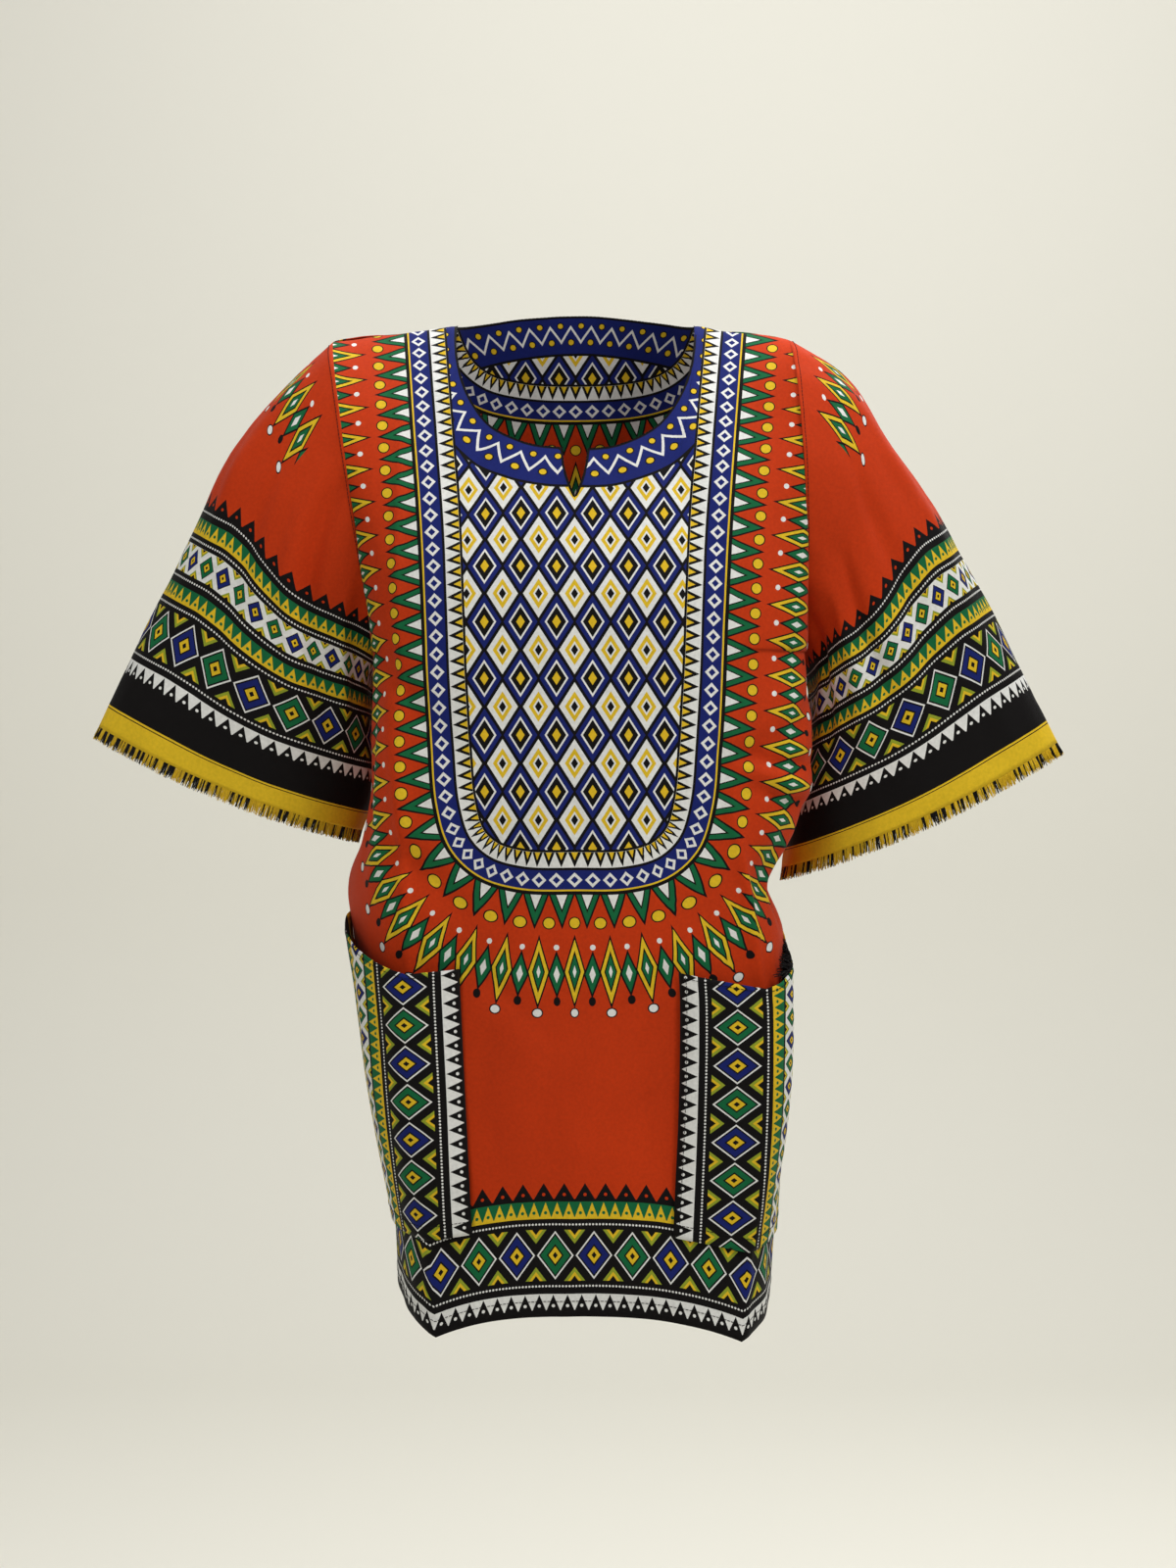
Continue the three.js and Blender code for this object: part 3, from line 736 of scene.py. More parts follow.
@dataclass(frozen=True)
class NeckPrint:
    """What fills the bib: a blue yoke round the neck, and a field of lozenges inside two bands."""

    layers: tuple[tuple[float, Ink], ...] = (
        (0, Ink.BLACK), (2.6, Ink.YELLOW), (4, Ink.BLUE), (19, Ink.BLACK), (21, Ink.WHITE), (33, Ink.BLACK),
    )
    edge: float = 35
    links: tuple[float, float] = (4, 19)
    link_pitch: float = 14
    teeth: tuple[float, float] = (21, 33)
    tooth_pitch: float = 10
    yoke: float = 33
    yoke_rim: float = 2.2
    zigzag: float = 18
    zigzag_from: float = 9.5
    zigzag_slope: float = 1.5
    zigzag_half: float = 1.7
    high_disc: float = 23
    low_disc: float = 8.5
    disc_rim: float = 0.9
    net: tuple[float, float] = (28, 44)

    def print(
        self,
        painter: Painter,
        cloth: tuple[Term, Term],
        bib: tuple[Term, Term],
        neckline: tuple[Term, Term],
    ) -> None:
        """Prints the bib's bands and what they enclose.

        Args:
            painter: the material's painter.
            cloth: the distance from the middle of the cloth, and the height in it.
            bib: the way along the bib's edge, and the distance out from it.
            neckline: the way along the neck's edge, and the distance from it.
        """
        along, depth = bib[0], bib[1] * -1
        painter.ramp(depth, self.layers, self.edge, depth.band(0, self.edge))
        middle = sum(self.links) / 2
        link = lozenge(along.repeat(self.link_pitch, -self.link_pitch / 2), depth - middle, 6, 5.8)
        painter.nested(link, ((1, Ink.WHITE), (0.5, Ink.BLUE)), depth.band(*self.links))
        across = abs(along.repeat(self.tooth_pitch, -self.tooth_pitch / 2)) / (self.tooth_pitch / 2)
        tooth = across + (depth * -1 + self.teeth[1]) / (self.teeth[1] - self.teeth[0])
        painter.nested(tooth, ((0.97, Ink.BLACK), (0.5, Ink.YELLOW)), depth.band(*self.teeth))
        inside = depth > self.edge
        self._field(painter, cloth, inside)
        self._yoke(painter, neckline, inside)

    def _field(self, painter: Painter, cloth: tuple[Term, Term], inside: Term) -> None:
        """Prints the net of nested lozenges, white and blue by turns."""
        wide, high = self.net
        reach = lozenge(cloth[0].repeat(wide), cloth[1].repeat(high), wide / 2, high / 2)
        whites = ((3, Ink.BLACK), (1.8, Ink.WHITE), (1.69, Ink.YELLOW), (1.46, Ink.WHITE), (1.14, Ink.BLACK))
        blues = ((0.94, Ink.BLUE), (0.66, Ink.WHITE), (0.54, Ink.BLACK), (0.24, Ink.YELLOW))
        painter.nested(reach, whites + blues, inside)

    def _yoke(self, painter: Painter, neckline: tuple[Term, Term], inside: Term) -> None:
        """Prints the blue band round the neck with its zigzag and discs."""
        around, neck = neckline
        collar = inside & (neck < self.yoke)
        painter.ink(inside & (neck < self.yoke + self.yoke_rim), Ink.BLACK)
        painter.ink(collar, Ink.BLUE)
        x = around.repeat(self.zigzag)
        wave = abs(x) * self.zigzag_slope + self.zigzag_from
        painter.ink((abs(neck - wave) < self.zigzag_half) & collar, Ink.WHITE)
        painter.oval(x, neck - self.high_disc, (2.4, 2.4), Ink.YELLOW, collar, self.disc_rim)
        between = (around + self.zigzag / 2).repeat(self.zigzag)
        painter.oval(between, neck - self.low_disc, (2.2, 2.2), Ink.YELLOW, collar, self.disc_rim)


# --- Finishes -----------------------------------------------------------------------------------


def empty_material(name: str) -> tuple[bpy.types.Material, bpy.types.NodeTree]:
    """A new material and its tree, with no node in it yet."""
    made = bpy.data.materials.new(name)
    made.use_nodes = True
    made.node_tree.nodes.clear()
    return made, made.node_tree


def unevenness(tree: bpy.types.NodeTree, scale: float, detail: float) -> Term:
    """A noise over the piece, from 0 to 1."""
    where = node(tree, "ShaderNodeTexCoord").outputs["Object"]
    made = node(tree, "ShaderNodeTexNoise", None, {"Vector": where, "Scale": scale, "Detail": detail})
    return Term(tree, made.outputs[0])


def cotton(tree: bpy.types.NodeTree, height: Term, relief: dict, surface: dict) -> None:
    """Ends a material's tree with the surface of dry cotton.

    Args:
        tree: the material's tree.
        height: the height of its relief.
        relief: the Bump node's strength and distance.
        surface: the Principled node's inputs that differ from one cotton to the other.
    """
    bump = node(tree, "ShaderNodeBump", None, {**relief, "Height": height.socket})
    common = {"IOR": 1.46, "Sheen Weight": 0.05, "Normal": bump.outputs[0]}
    made = node(tree, "ShaderNodeBsdfPrincipled", None, {**common, **surface})
    node(tree, "ShaderNodeOutputMaterial", None, {0: made.outputs[0]})


@dataclass(frozen=True)
class PrintedCotton:
    """Plain-woven cotton, dyed and roller printed: a dry, slightly glazed cloth whose threads just show."""

    name: str
    ground: Ink = Ink.ORANGE
    roughness: float = 0.78
    thread: float = 0.9  # the real pitch is about 0.35 mm, too fine to show at arm's length
    patchy: float = 0.3
    grainy: float = 0.34
    darkest: float = 0.68
    weave: float = 0.12
    slub: float = 0.9

    def material(self) -> tuple[bpy.types.Material, Painter]:
        """Makes the material with its ground, ready for printing."""
        made, tree = empty_material(self.name)
        return made, Painter(tree, self.ground)

    def place(self, tree: bpy.types.NodeTree, attribute: str) -> tuple[Term, Term, Term]:
        """Reads three numbers, in millimetres, from an attribute of the piece."""
        read = node(tree, "ShaderNodeAttribute", {"attribute_name": attribute})
        parts = node(tree, "ShaderNodeSeparateXYZ", None, {0: read.outputs["Vector"]})
        return tuple(Term(tree, parts.outputs[i]) for i in range(3))

    def finish(self, painter: Painter, across: Term, up: Term) -> None:
        """Joins the printed colour to the cloth's surface: uneven dye, weave and soft wrinkles."""
        tree = painter.tree
        value = unevenness(tree, 9, 3) * self.patchy + unevenness(tree, 420, 2) * self.grainy + self.darkest
        inputs = {"Value": value.socket, "Color": painter.colour}
        shade = node(tree, "ShaderNodeHueSaturation", None, inputs)
        turns = 2 * math.pi / self.thread
        woven = (across * turns).math("SINE") * (up * turns).math("SINE")
        height = woven * self.weave + unevenness(tree, 60, 4) * self.slub
        looks = {"Base Color": shade.outputs[0], "Roughness": self.roughness, "Specular IOR Level": 0.16}
        cotton(tree, height, {"Strength": 0.55, "Distance": 0.0009}, {**looks, "Sheen Roughness": 0.4})


@dataclass(frozen=True)
class Thread:
    """Spun cotton thread, matt with a little sheen."""

    name: str
    light: Ink
    dark: Ink
    roughness: float = 0.85
    light_below: float = 0.52

    def material(self) -> bpy.types.Material:
        """Makes the material, which takes one of two dyes by the thread's own number."""
        made, tree = empty_material(self.name)
        read = node(tree, "ShaderNodeAttribute", {"attribute_name": "strand"})
        painter = Painter(tree, self.light)
        painter.ink(Term(tree, read.outputs["Fac"]) > self.light_below, self.dark)
        looks = {"Base Color": painter.colour, "Roughness": self.roughness, "Specular IOR Level": 0.2}
        cotton(tree, unevenness(tree, 900, 2), {"Strength": 0.4, "Distance": 0.0003}, looks)
        return made


# --- Cloth pieces ---------------------------------------------------------------------------------


@dataclass
class Cloth:
    """A sheet of cloth as rows of points, with the print's coordinates at each point."""

    name: str
    points: Array
    places: dict
    ring: bool = False
    thickness: float = 0.7

    def build(self, material: bpy.types.Material) -> bpy.types.Object:
        """Makes the sheet's object, a thin closed shell.

        Args:
            material: the finish of the cloth.

        Returns:
            The object, with its place in its mesh.
        """
        rows, columns = self.points.shape[:2]
        mesh = bpy.data.meshes.new(self.name)
        last = columns if self.ring else columns - 1
        index = np.arange(rows * columns).reshape(rows, columns)
        here, beside = index[:, :last], np.roll(index, -1, axis=1)[:, :last]
        faces = np.stack([here[:-1], beside[:-1], beside[1:], here[1:]], axis=-1).reshape(-1, 4)
        mesh.from_pydata((self.points.reshape(-1, 3) * MM).tolist(), [], faces.tolist())
        for name, values in self.places.items():
            kept = mesh.attributes.new(name, "FLOAT_VECTOR", "POINT")
            kept.data.foreach_set("vector", values.reshape(-1).astype(np.float32))
        mesh.polygons.foreach_set("use_smooth", [True] * len(mesh.polygons))
        mesh.materials.append(material)
        made = bpy.data.objects.new(self.name, mesh)
        bpy.context.scene.collection.objects.link(made)
        shell = made.modifiers.new("cloth", "SOLIDIFY")
        shell.thickness = self.thickness * MM
        shell.offset = 0
        shell.use_even_offset = False
        bake(made)
        return made

    def area(self) -> float:
        """The sheet's area in square metres."""
        p = self.points * MM
        if self.ring:
            p = np.concatenate([p, p[:, :1]], axis=1)
        one = np.cross(p[1:, 1:] - p[:-1, :-1], p[1:, :-1] - p[:-1, 1:])
        return float(np.linalg.norm(one, axis=-1).sum() / 2)


def bake(made: bpy.types.Object) -> None:
    """Turns an object's modifiers into its plain mesh."""
    bpy.context.view_layer.update()
    seen = made.evaluated_get(bpy.context.evaluated_depsgraph_get())
    mesh = bpy.data.meshes.new_from_object(seen)
    made.modifiers.clear()
    made.data = mesh


@dataclass
class Panel:
    """The front or the back of the dress."""

    form: Form
    face: Face
    folds: Sequence[Fold]
    middle_columns: int = 8
    face_columns: int = 32
    side_columns: int = 26
    low_rows: int = 130
    arm_rows: int = 66
    middle_share: float = 0.07
    slit_share: float = 0.16
    slit_crowd: float = 0.06
    slit_reach: float = 1.6
    unevenness: float = 2.6
    seed: float = 3.0
    past_neck: float = 40
    print_top: float = 30
    print_levels: int = 120

    def _shares(self, side: Side) -> tuple[Array, Array, Array]:
        """The columns' places low down and at the top, as shares of the way to the corner, and their x."""
        form, middle, crowd = self.form, self.middle_share, self.slit_crowd
        low = np.linspace(0, middle, self.middle_columns)[:-1]
        low = np.concatenate([low, np.linspace(middle, 1, self.face_columns)])
        edge = form.edge_share[side]
        corner = abs(float(form.body[f"{side.name}_corner"](np.array(form.neck_top))))
        reach = np.clip(low / edge, 0, 1)
        neck = form.neck_half * np.sin(np.pi / 2 * np.clip((reach - crowd) / (1 - crowd), 0, 1))
        beside_slit = reach / self.slit_share * form.slit_half * self.slit_reach
        neck = np.where(reach < self.slit_share, np.maximum(neck, beside_slit), neck)
        out = lerp(form.neck_half, corner, np.clip((low - edge) / (1 - edge), 0, 1))
        top_x = np.where(low <= edge, np.maximum.accumulate(neck), out)
        return low, top_x / corner, top_x

    def _half(self, side: Side) -> Array:
        """One half of the panel, its columns from the middle outwards."""
        form, face = self.form, self.face
        front = face is Face.FRONT
        hem_corner = form.hem[f"{side.name}_corner" if front else "back_corner"]
        hem_middle = form.hem["middle" if front else "back_middle"]
        hem_seam = form.hem[f"{side.name}_seam"]
        under = form.armholes[side].under_z
        low, high, top_x = self._shares(side)
        beside = np.linspace(0, 1, self.side_columns + 1)[1:]
        climb = np.linspace(0, 1, self.low_rows)[:, None]
        hem = lerp(hem_middle, hem_corner, low**form.droop)
        foot = form.face_point(side, face, low[None], lerp(hem[None], under, climb))
        side_hem = lerp(hem_corner, hem_seam, beside)
        foot_side = form.low_side(side, face, beside[None], lerp(side_hem[None], under, climb))
        turn = np.linspace(np.pi, 0, self.arm_rows + 1)[1:, None]
        up = (1 + np.cos(turn)) / 2
        neck = form.front_neck(top_x) if front else form.neck_top + form.nape_rise * form.nape_share(top_x)
        top = np.where(top_x <= form.neck_half, neck, form.shoulder_line(side, top_x))
        share = lerp(low[None], high[None], smooth(up))
        head = form.face_point(side, face, share, lerp(under, top[None], up))
        edge = form.armhole(side, turn if front else 2 * np.pi - turn)
        swell = float(form.body[f"{side.name}_swell"](np.array(float(under)))) if front else form.back_swell
        head_side = form.side_point(head[:, -1:], edge, beside[None], (1 - up) ** form.swell_fade * swell)
        return np.concatenate(
            [np.concatenate([foot, foot_side], axis=1), np.concatenate([head, head_side], axis=1)], axis=0
        )

    def points(self) -> Array:
        """The whole panel, rows from the hem up and columns from the wearer's right to the left."""
        right, left = self._half(Side.RIGHT), self._half(Side.LEFT)
        return np.concatenate([right[:, :0:-1], left], axis=1)

    def coordinates(self, points: Array) -> Array:
        """The cloth's own coordinates: the distance across, the height, and the height above the hem."""
        x, y, z = points[..., 0], points[..., 1], points[..., 2]
        columns = points.shape[1]
        middle = columns // 2
        corner = self.middle_columns - 1 + self.face_columns - 1
        across = x.copy()
        step = np.hypot(np.diff(x, axis=1), np.diff(y, axis=1))
        for c in range(middle + corner + 1, columns):
            across[:, c] = across[:, c - 1] + step[:, c - 1]
        for c in range(middle - corner - 1, -1, -1):
            across[:, c] = across[:, c + 1] - step[:, c]
        under = self.form.armholes[Side.LEFT].under_z
        level = np.linspace(under, self.print_top, self.print_levels)
        side = self.form.face_point(Side.LEFT, self.face, 0.5, level)
        rise = np.concatenate([[0], np.cumsum(np.hypot(np.diff(side[:, 1]), np.diff(level)))])
        up = np.where(z > under, np.interp(z, level, rise) + under, z)
        return np.stack([across, up, up - up[0][None]], axis=-1)

    def cloth(self, bib: Bib) -> Cloth:
        """The panel as a sheet with its print's coordinates."""
        points = self.points()
        places = self.coordinates(points)
        moved = folded(points, places, self.folds, self.unevenness, self.seed + self.face.value)
        across, up = places[..., 0], places[..., 1]
        far = Sunburst().line
        top = places[-1][np.abs(points[-1, :, 0]) <= self.form.neck_half, :2]
        slit = self.form.slit_half if self.face is Face.FRONT else 0
        rim = np.abs(beside_line(top, across, up)[1])
        scoop = top[np.abs(top[:, 0]) >= slit]
        first, last = scoop[[0, -1]] + np.array([0, self.past_neck])
        on_neck = beside_line(smoothed(np.concatenate([[first], scoop, [last]])), across, up)
        on_bib = beside_line(bib.outline(), np.abs(across), up)
        on_burst = beside_line(bib.beyond(far), np.abs(across), up)
        grids = {
            "cloth": places,
            "bib": np.stack([*on_bib, rim], axis=-1),
            "neck": np.stack([on_neck[0], np.abs(on_neck[1]), rim], axis=-1),
            "burst": np.stack([on_burst[0], on_burst[1] + far, rim], axis=-1),
        }
        if self.face is Face.BACK:
            moved, grids = moved[:, ::-1], {name: grid[:, ::-1] for name, grid in grids.items()}
        return Cloth(f"{self.face.name.lower()}_cloth", moved, grids)


def panel_material(face: Face, neck_rim: float = 1.8) -> bpy.types.Material:
    """The printed cotton of the front or the back, with a black rim at the neck."""
    finish = PrintedCotton(f"roller_printed_cotton_{face.name.lower()}")
    material, painter = finish.material()
    tree = painter.tree
    across, up, height = finish.place(tree, "cloth")
    along, out, rim = finish.place(tree, "bib")
    outside = out > 0
    Sunburst().rays(painter, *finish.place(tree, "burst")[:2], outside)
    Sunburst().teeth(painter, along, out, outside)
    NeckPrint().print(painter, (across, up), (along, out), finish.place(tree, "neck")[:2])
    painter.ink(rim < neck_rim, Ink.BLACK)
    HEM_BORDER.print(painter, across, height, height < HEM_BORDER.width)
    finish.finish(painter, across, up)
    return material


@dataclass
class Sleeve:
    """A wide sleeve, a slanted tube that is flat between its two folds."""

    form: Form
    side: Side
    folds: Sequence[Fold]
    rings: int = 92
    around: int = 144
    gather: float = 0.2
    gather_from: float = 0.75
    gather_over: float = 1.1
    cuff_round: float = 560
    unevenness: float = 2.8
    seed: float = 20.0

    def cloth(self) -> Cloth:
        """The sleeve as a ring sheet: the print's coordinates are round the cuff, and up from it."""
        turn = np.arange(self.around) * 2 * np.pi / self.around
        if self.side is Side.RIGHT:
            turn = turn[::-1]
        at = np.linspace(0, 1, self.rings)[:, None]
        points = self.form.sleeve_point(self.side, at, turn[None])
        step = np.linalg.norm(np.diff(points, axis=0), axis=-1)
        up = np.concatenate([np.cumsum(step[::-1], axis=0)[::-1], np.zeros((1, self.around))], axis=0)
        from_top = (turn + np.pi) % (2 * np.pi) - np.pi
        across = np.broadcast_to((from_top / (2 * np.pi) * self.cuff_round)[None], up.shape)
        drop = np.concatenate([np.zeros((1, self.around)), np.cumsum(step, axis=0)], axis=0)
        # Near the armpit the cloth is gathered, so the print's rows lie closer together.
        inner = smooth((np.abs(from_top) - self.gather_from) / self.gather_over)
        places = np.stack([across, up * (1 + self.gather * inner), drop], axis=-1)
        moved = folded(points, places, self.folds, self.unevenness, self.seed + self.side.value)
        moved[0] = points[0]
        return Cloth(f"{self.side.word}_sleeve_cloth", moved, {"cloth": places}, ring=True)


def sleeve_material(cap_half: float = 95, cap_deep: float = 88) -> bpy.types.Material:
    """The printed cotton of both sleeves, with rays on the cap, whose half width and depth are given."""
    finish = PrintedCotton("roller_printed_cotton_sleeve")
    material, painter = finish.material()
    across, up, drop = finish.place(painter.tree, "cloth")
    cap = abs(across) < cap_half
    out = drop * 1.1 + 12  # the cap's rays are a little shorter, and start nearer to the seam
    Sunburst().rays(painter, across, out, cap & (drop < cap_deep))
    CUFF_BORDER.print(painter, across, up, up < CUFF_BORDER.width)
    finish.finish(painter, across, up)
    return material


@dataclass
class Pocket:
    """A patch pocket that wraps round the pressed corner to the side seam and gapes at its mouth."""

    form: Form
    side: Side
    folds: Sequence[Fold]
    mouth: tuple[float, float, float]
    foot: tuple[float, float, float]
    lift: float = 2.2
    gape: float = 14
    seam_ease: float = 0.0
    seam_stop: float = 0.95
    face_columns: int = 14
    side_columns: int = 26
    rows: int = 60
    face_part: float = 2
    flank_part: float = 5
    full_below: float = 1.6
    fullness: float = 0.6
    ease_from: float = 0.8
    inner_edge: float = 135
    draped: float = 0.9
    deepest: float = -2
    unevenness: float = 0.8
    seed: float = 40.0

    def _surface(self, up: Array) -> tuple[Array, Array]:
        """The front's own surface under the pocket, and how far round each column lies."""
        form, side, foot, mouth = self.form, self.side, self.foot, self.mouth
        edge = form.edge_share[side]
        share = np.linspace(edge, 1, self.face_columns)
        to_corner = (share - edge) / (1 - edge)
        z = lerp(lerp(foot[0], foot[1], to_corner), lerp(mouth[0], mouth[1], to_corner), up)
        face = form.face_point(side, Face.FRONT, share[None], z)
        beside = np.linspace(0, self.seam_stop, self.side_columns + 1)[1:]
        z = lerp(lerp(foot[1], foot[2], beside), lerp(mouth[1], mouth[2], beside), up)
        flank = form.low_side(side, Face.FRONT, beside[None], z)
        corner, whole = self.face_part, self.face_part + self.flank_part * self.seam_stop
        reach = np.concatenate([corner * to_corner, corner + self.flank_part * beside]) / whole
        return np.concatenate([face, flank], axis=1), reach

    def _from_edge(self, points: Array) -> Array:
        """How far each point lies from the pocket's inner edge, along its row."""
        step = np.hypot(np.diff(points[..., 0], axis=1), np.diff(points[..., 1], axis=1))
        run = np.concatenate([np.zeros((self.rows, 1)), np.cumsum(step, axis=1)], axis=1)
        return run if self.side is Side.LEFT else run[:, -1:] - run

    def cloth(self, panel: Panel) -> Cloth:
        """The pocket as a sheet: the print's coordinates are from its inner edge, and its height."""
        up = np.linspace(0, 1, self.rows)[:, None]
        points, reach = self._surface(up)
        if self.side is Side.RIGHT:
            points, reach = points[:, ::-1], reach[::-1]
        eased = 1 - self.seam_ease * smooth(2 * reach - self.ease_from)
        bulge = self.gape * np.maximum(0, np.sin(np.pi * reach)) ** self.fullness * eased
        bulge = bulge[None] * np.sin(np.pi / 2 * np.minimum(1, up * self.full_below))
        across = self._from_edge(points)
        signed = self.side.value * (across + self.form.edge_share[self.side] * self.inner_edge)
        places = np.stack([signed, points[..., 2], 0 * across], axis=-1)
        out = normals(points)
        lifted = points + out * (self.lift + bulge)[..., None]
        lift = sum(fold.lift(places[..., 0], places[..., 1]) for fold in panel.folds)
        lifted = lifted + out * (self.draped * np.maximum(lift, self.deepest))[..., None]
        up_print = points[..., 2] - self.foot[0]
        own = np.stack([self._from_edge(lifted), up_print, 0 * up_print], axis=-1)
        moved = folded(lifted, places, self.folds, self.unevenness, self.seed + self.side.value)
        return Cloth(f"{self.side.word}_pocket_cloth", moved, {"cloth": own})


def pocket_material() -> bpy.types.Material:
    """The border-printed cotton of both pockets."""
    finish = PrintedCotton("roller_printed_cotton_pocket", Ink.BLACK)
    material, painter = finish.material()
    across, up, _ = finish.place(painter.tree, "cloth")
    POCKET_BORDER.print(painter, up, across, across > -1)
    finish.finish(painter, across, up)
    return material


# --- Repeats made by Geometry Nodes: stitches and frays ---------------------------------------------


def group(name: str, sizes: dict) -> tuple[bpy.types.NodeTree, bpy.types.Node, dict]:
    """Starts a Geometry Nodes tree with named sizes as inputs.

    Args:
        name: the tree's name.
        sizes: each input's name and its value, a whole number or a length.

    Returns:
        The tree, its input node, and the identifier of each named input.
    """
    tree = bpy.data.node_groups.new(name, "GeometryNodeTree")
    tree.interface.new_socket("Geometry", in_out="INPUT", socket_type="NodeSocketGeometry")
    ids = {}
    for key, value in sizes.items():
        kind = "NodeSocketInt" if isinstance(value, int) else "NodeSocketFloat"
        socket = tree.interface.new_socket(key, in_out="INPUT", socket_type=kind)
        socket.default_value = value
        ids[key] = socket.identifier
    tree.interface.new_socket("Geometry", in_out="OUTPUT", socket_type="NodeSocketGeometry")
    return tree, node(tree, "NodeGroupInput"), ids


def run_tree(made: bpy.types.Object, tree: bpy.types.NodeTree, ids: dict, sizes: dict) -> None:
    """Runs a tree on an object with the given sizes and keeps the plain mesh that it gives."""
    modifier = made.modifiers.new(tree.name, "NODES")
    modifier.node_group = tree
    for key, value in sizes.items():
        modifier[ids[key]] = value
    bake(made)


def line_object(name: str, points: Array, places: Optional[dict] = None) -> bpy.types.Object:
    """An open line of points, in millimetres, as an object."""
    mesh = bpy.data.meshes.new(name)
    mesh.from_pydata((points * MM).tolist(), [(i, i + 1) for i in range(len(points) - 1)], [])
    for key, values in (places or {}).items():
        kept = mesh.attributes.new(key, "FLOAT_VECTOR", "POINT")
        kept.data.foreach_set("vector", values.reshape(-1).astype(np.float32))
    made = bpy.data.objects.new(name, mesh)
    bpy.context.scene.collection.objects.link(made)
    return made


def marks_along(tree: bpy.types.NodeTree, sizes: bpy.types.Node) -> bpy.types.Node:
    """Makes points at an even pitch along the tree's line."""
    line = node(tree, "GeometryNodeMeshToCurve", None, {0: sizes.outputs["Geometry"]})
    inputs = {"Curve": line.outputs[0], "Length": sizes.outputs["Pitch"]}
    return node(tree, "GeometryNodeCurveToPoints", {"mode": "LENGTH"}, inputs)


def end_tree(tree: bpy.types.NodeTree, laid: bpy.types.NodeSocket, finish: Thread) -> None:
    """Ends a tree: its instances become real, with their material."""
    real = node(tree, "GeometryNodeRealizeInstances", None, {0: laid})
    dyed = node(tree, "GeometryNodeSetMaterial", None, {0: real.outputs[0], "Material": finish.material()})
    node(tree, "NodeGroupOutput", None, {0: dyed.outputs[0]})


@dataclass
class Stitching:
    """Rows of lockstitch, a short rounded thread at each stitch."""

    finish: Thread
    sizes: dict = field(
        default_factory=lambda: {"Pitch": 3.2 * MM, "Length": 2.3 * MM, "Radius": 0.27 * MM}
    )

    def tree(self) -> tuple[bpy.types.NodeTree, dict]:
        """Builds the tree that lays one stitch after another along a line."""
        tree, sizes, ids = group("lockstitch", self.sizes)
        marks = marks_along(tree, sizes)
        shape = {"Vertices": 6, "Radius": sizes.outputs["Radius"], "Depth": sizes.outputs["Length"]}
        stitch = node(tree, "GeometryNodeMeshCylinder", None, shape)
        inputs = {"Instance": stitch.outputs[0]} | {key: marks.outputs[key] for key in ("Points", "Rotation")}
        end_tree(tree, node(tree, "GeometryNodeInstanceOnPoints", None, inputs).outputs[0], self.finish)
        return tree, ids

    def sew(self, name: str, line: Array, tree: bpy.types.NodeTree, ids: dict) -> bpy.types.Object:
        """Sews one row along a line that lies on the cloth."""
        made = line_object(name, line)
        run_tree(made, tree, ids, self.sizes)
        return made


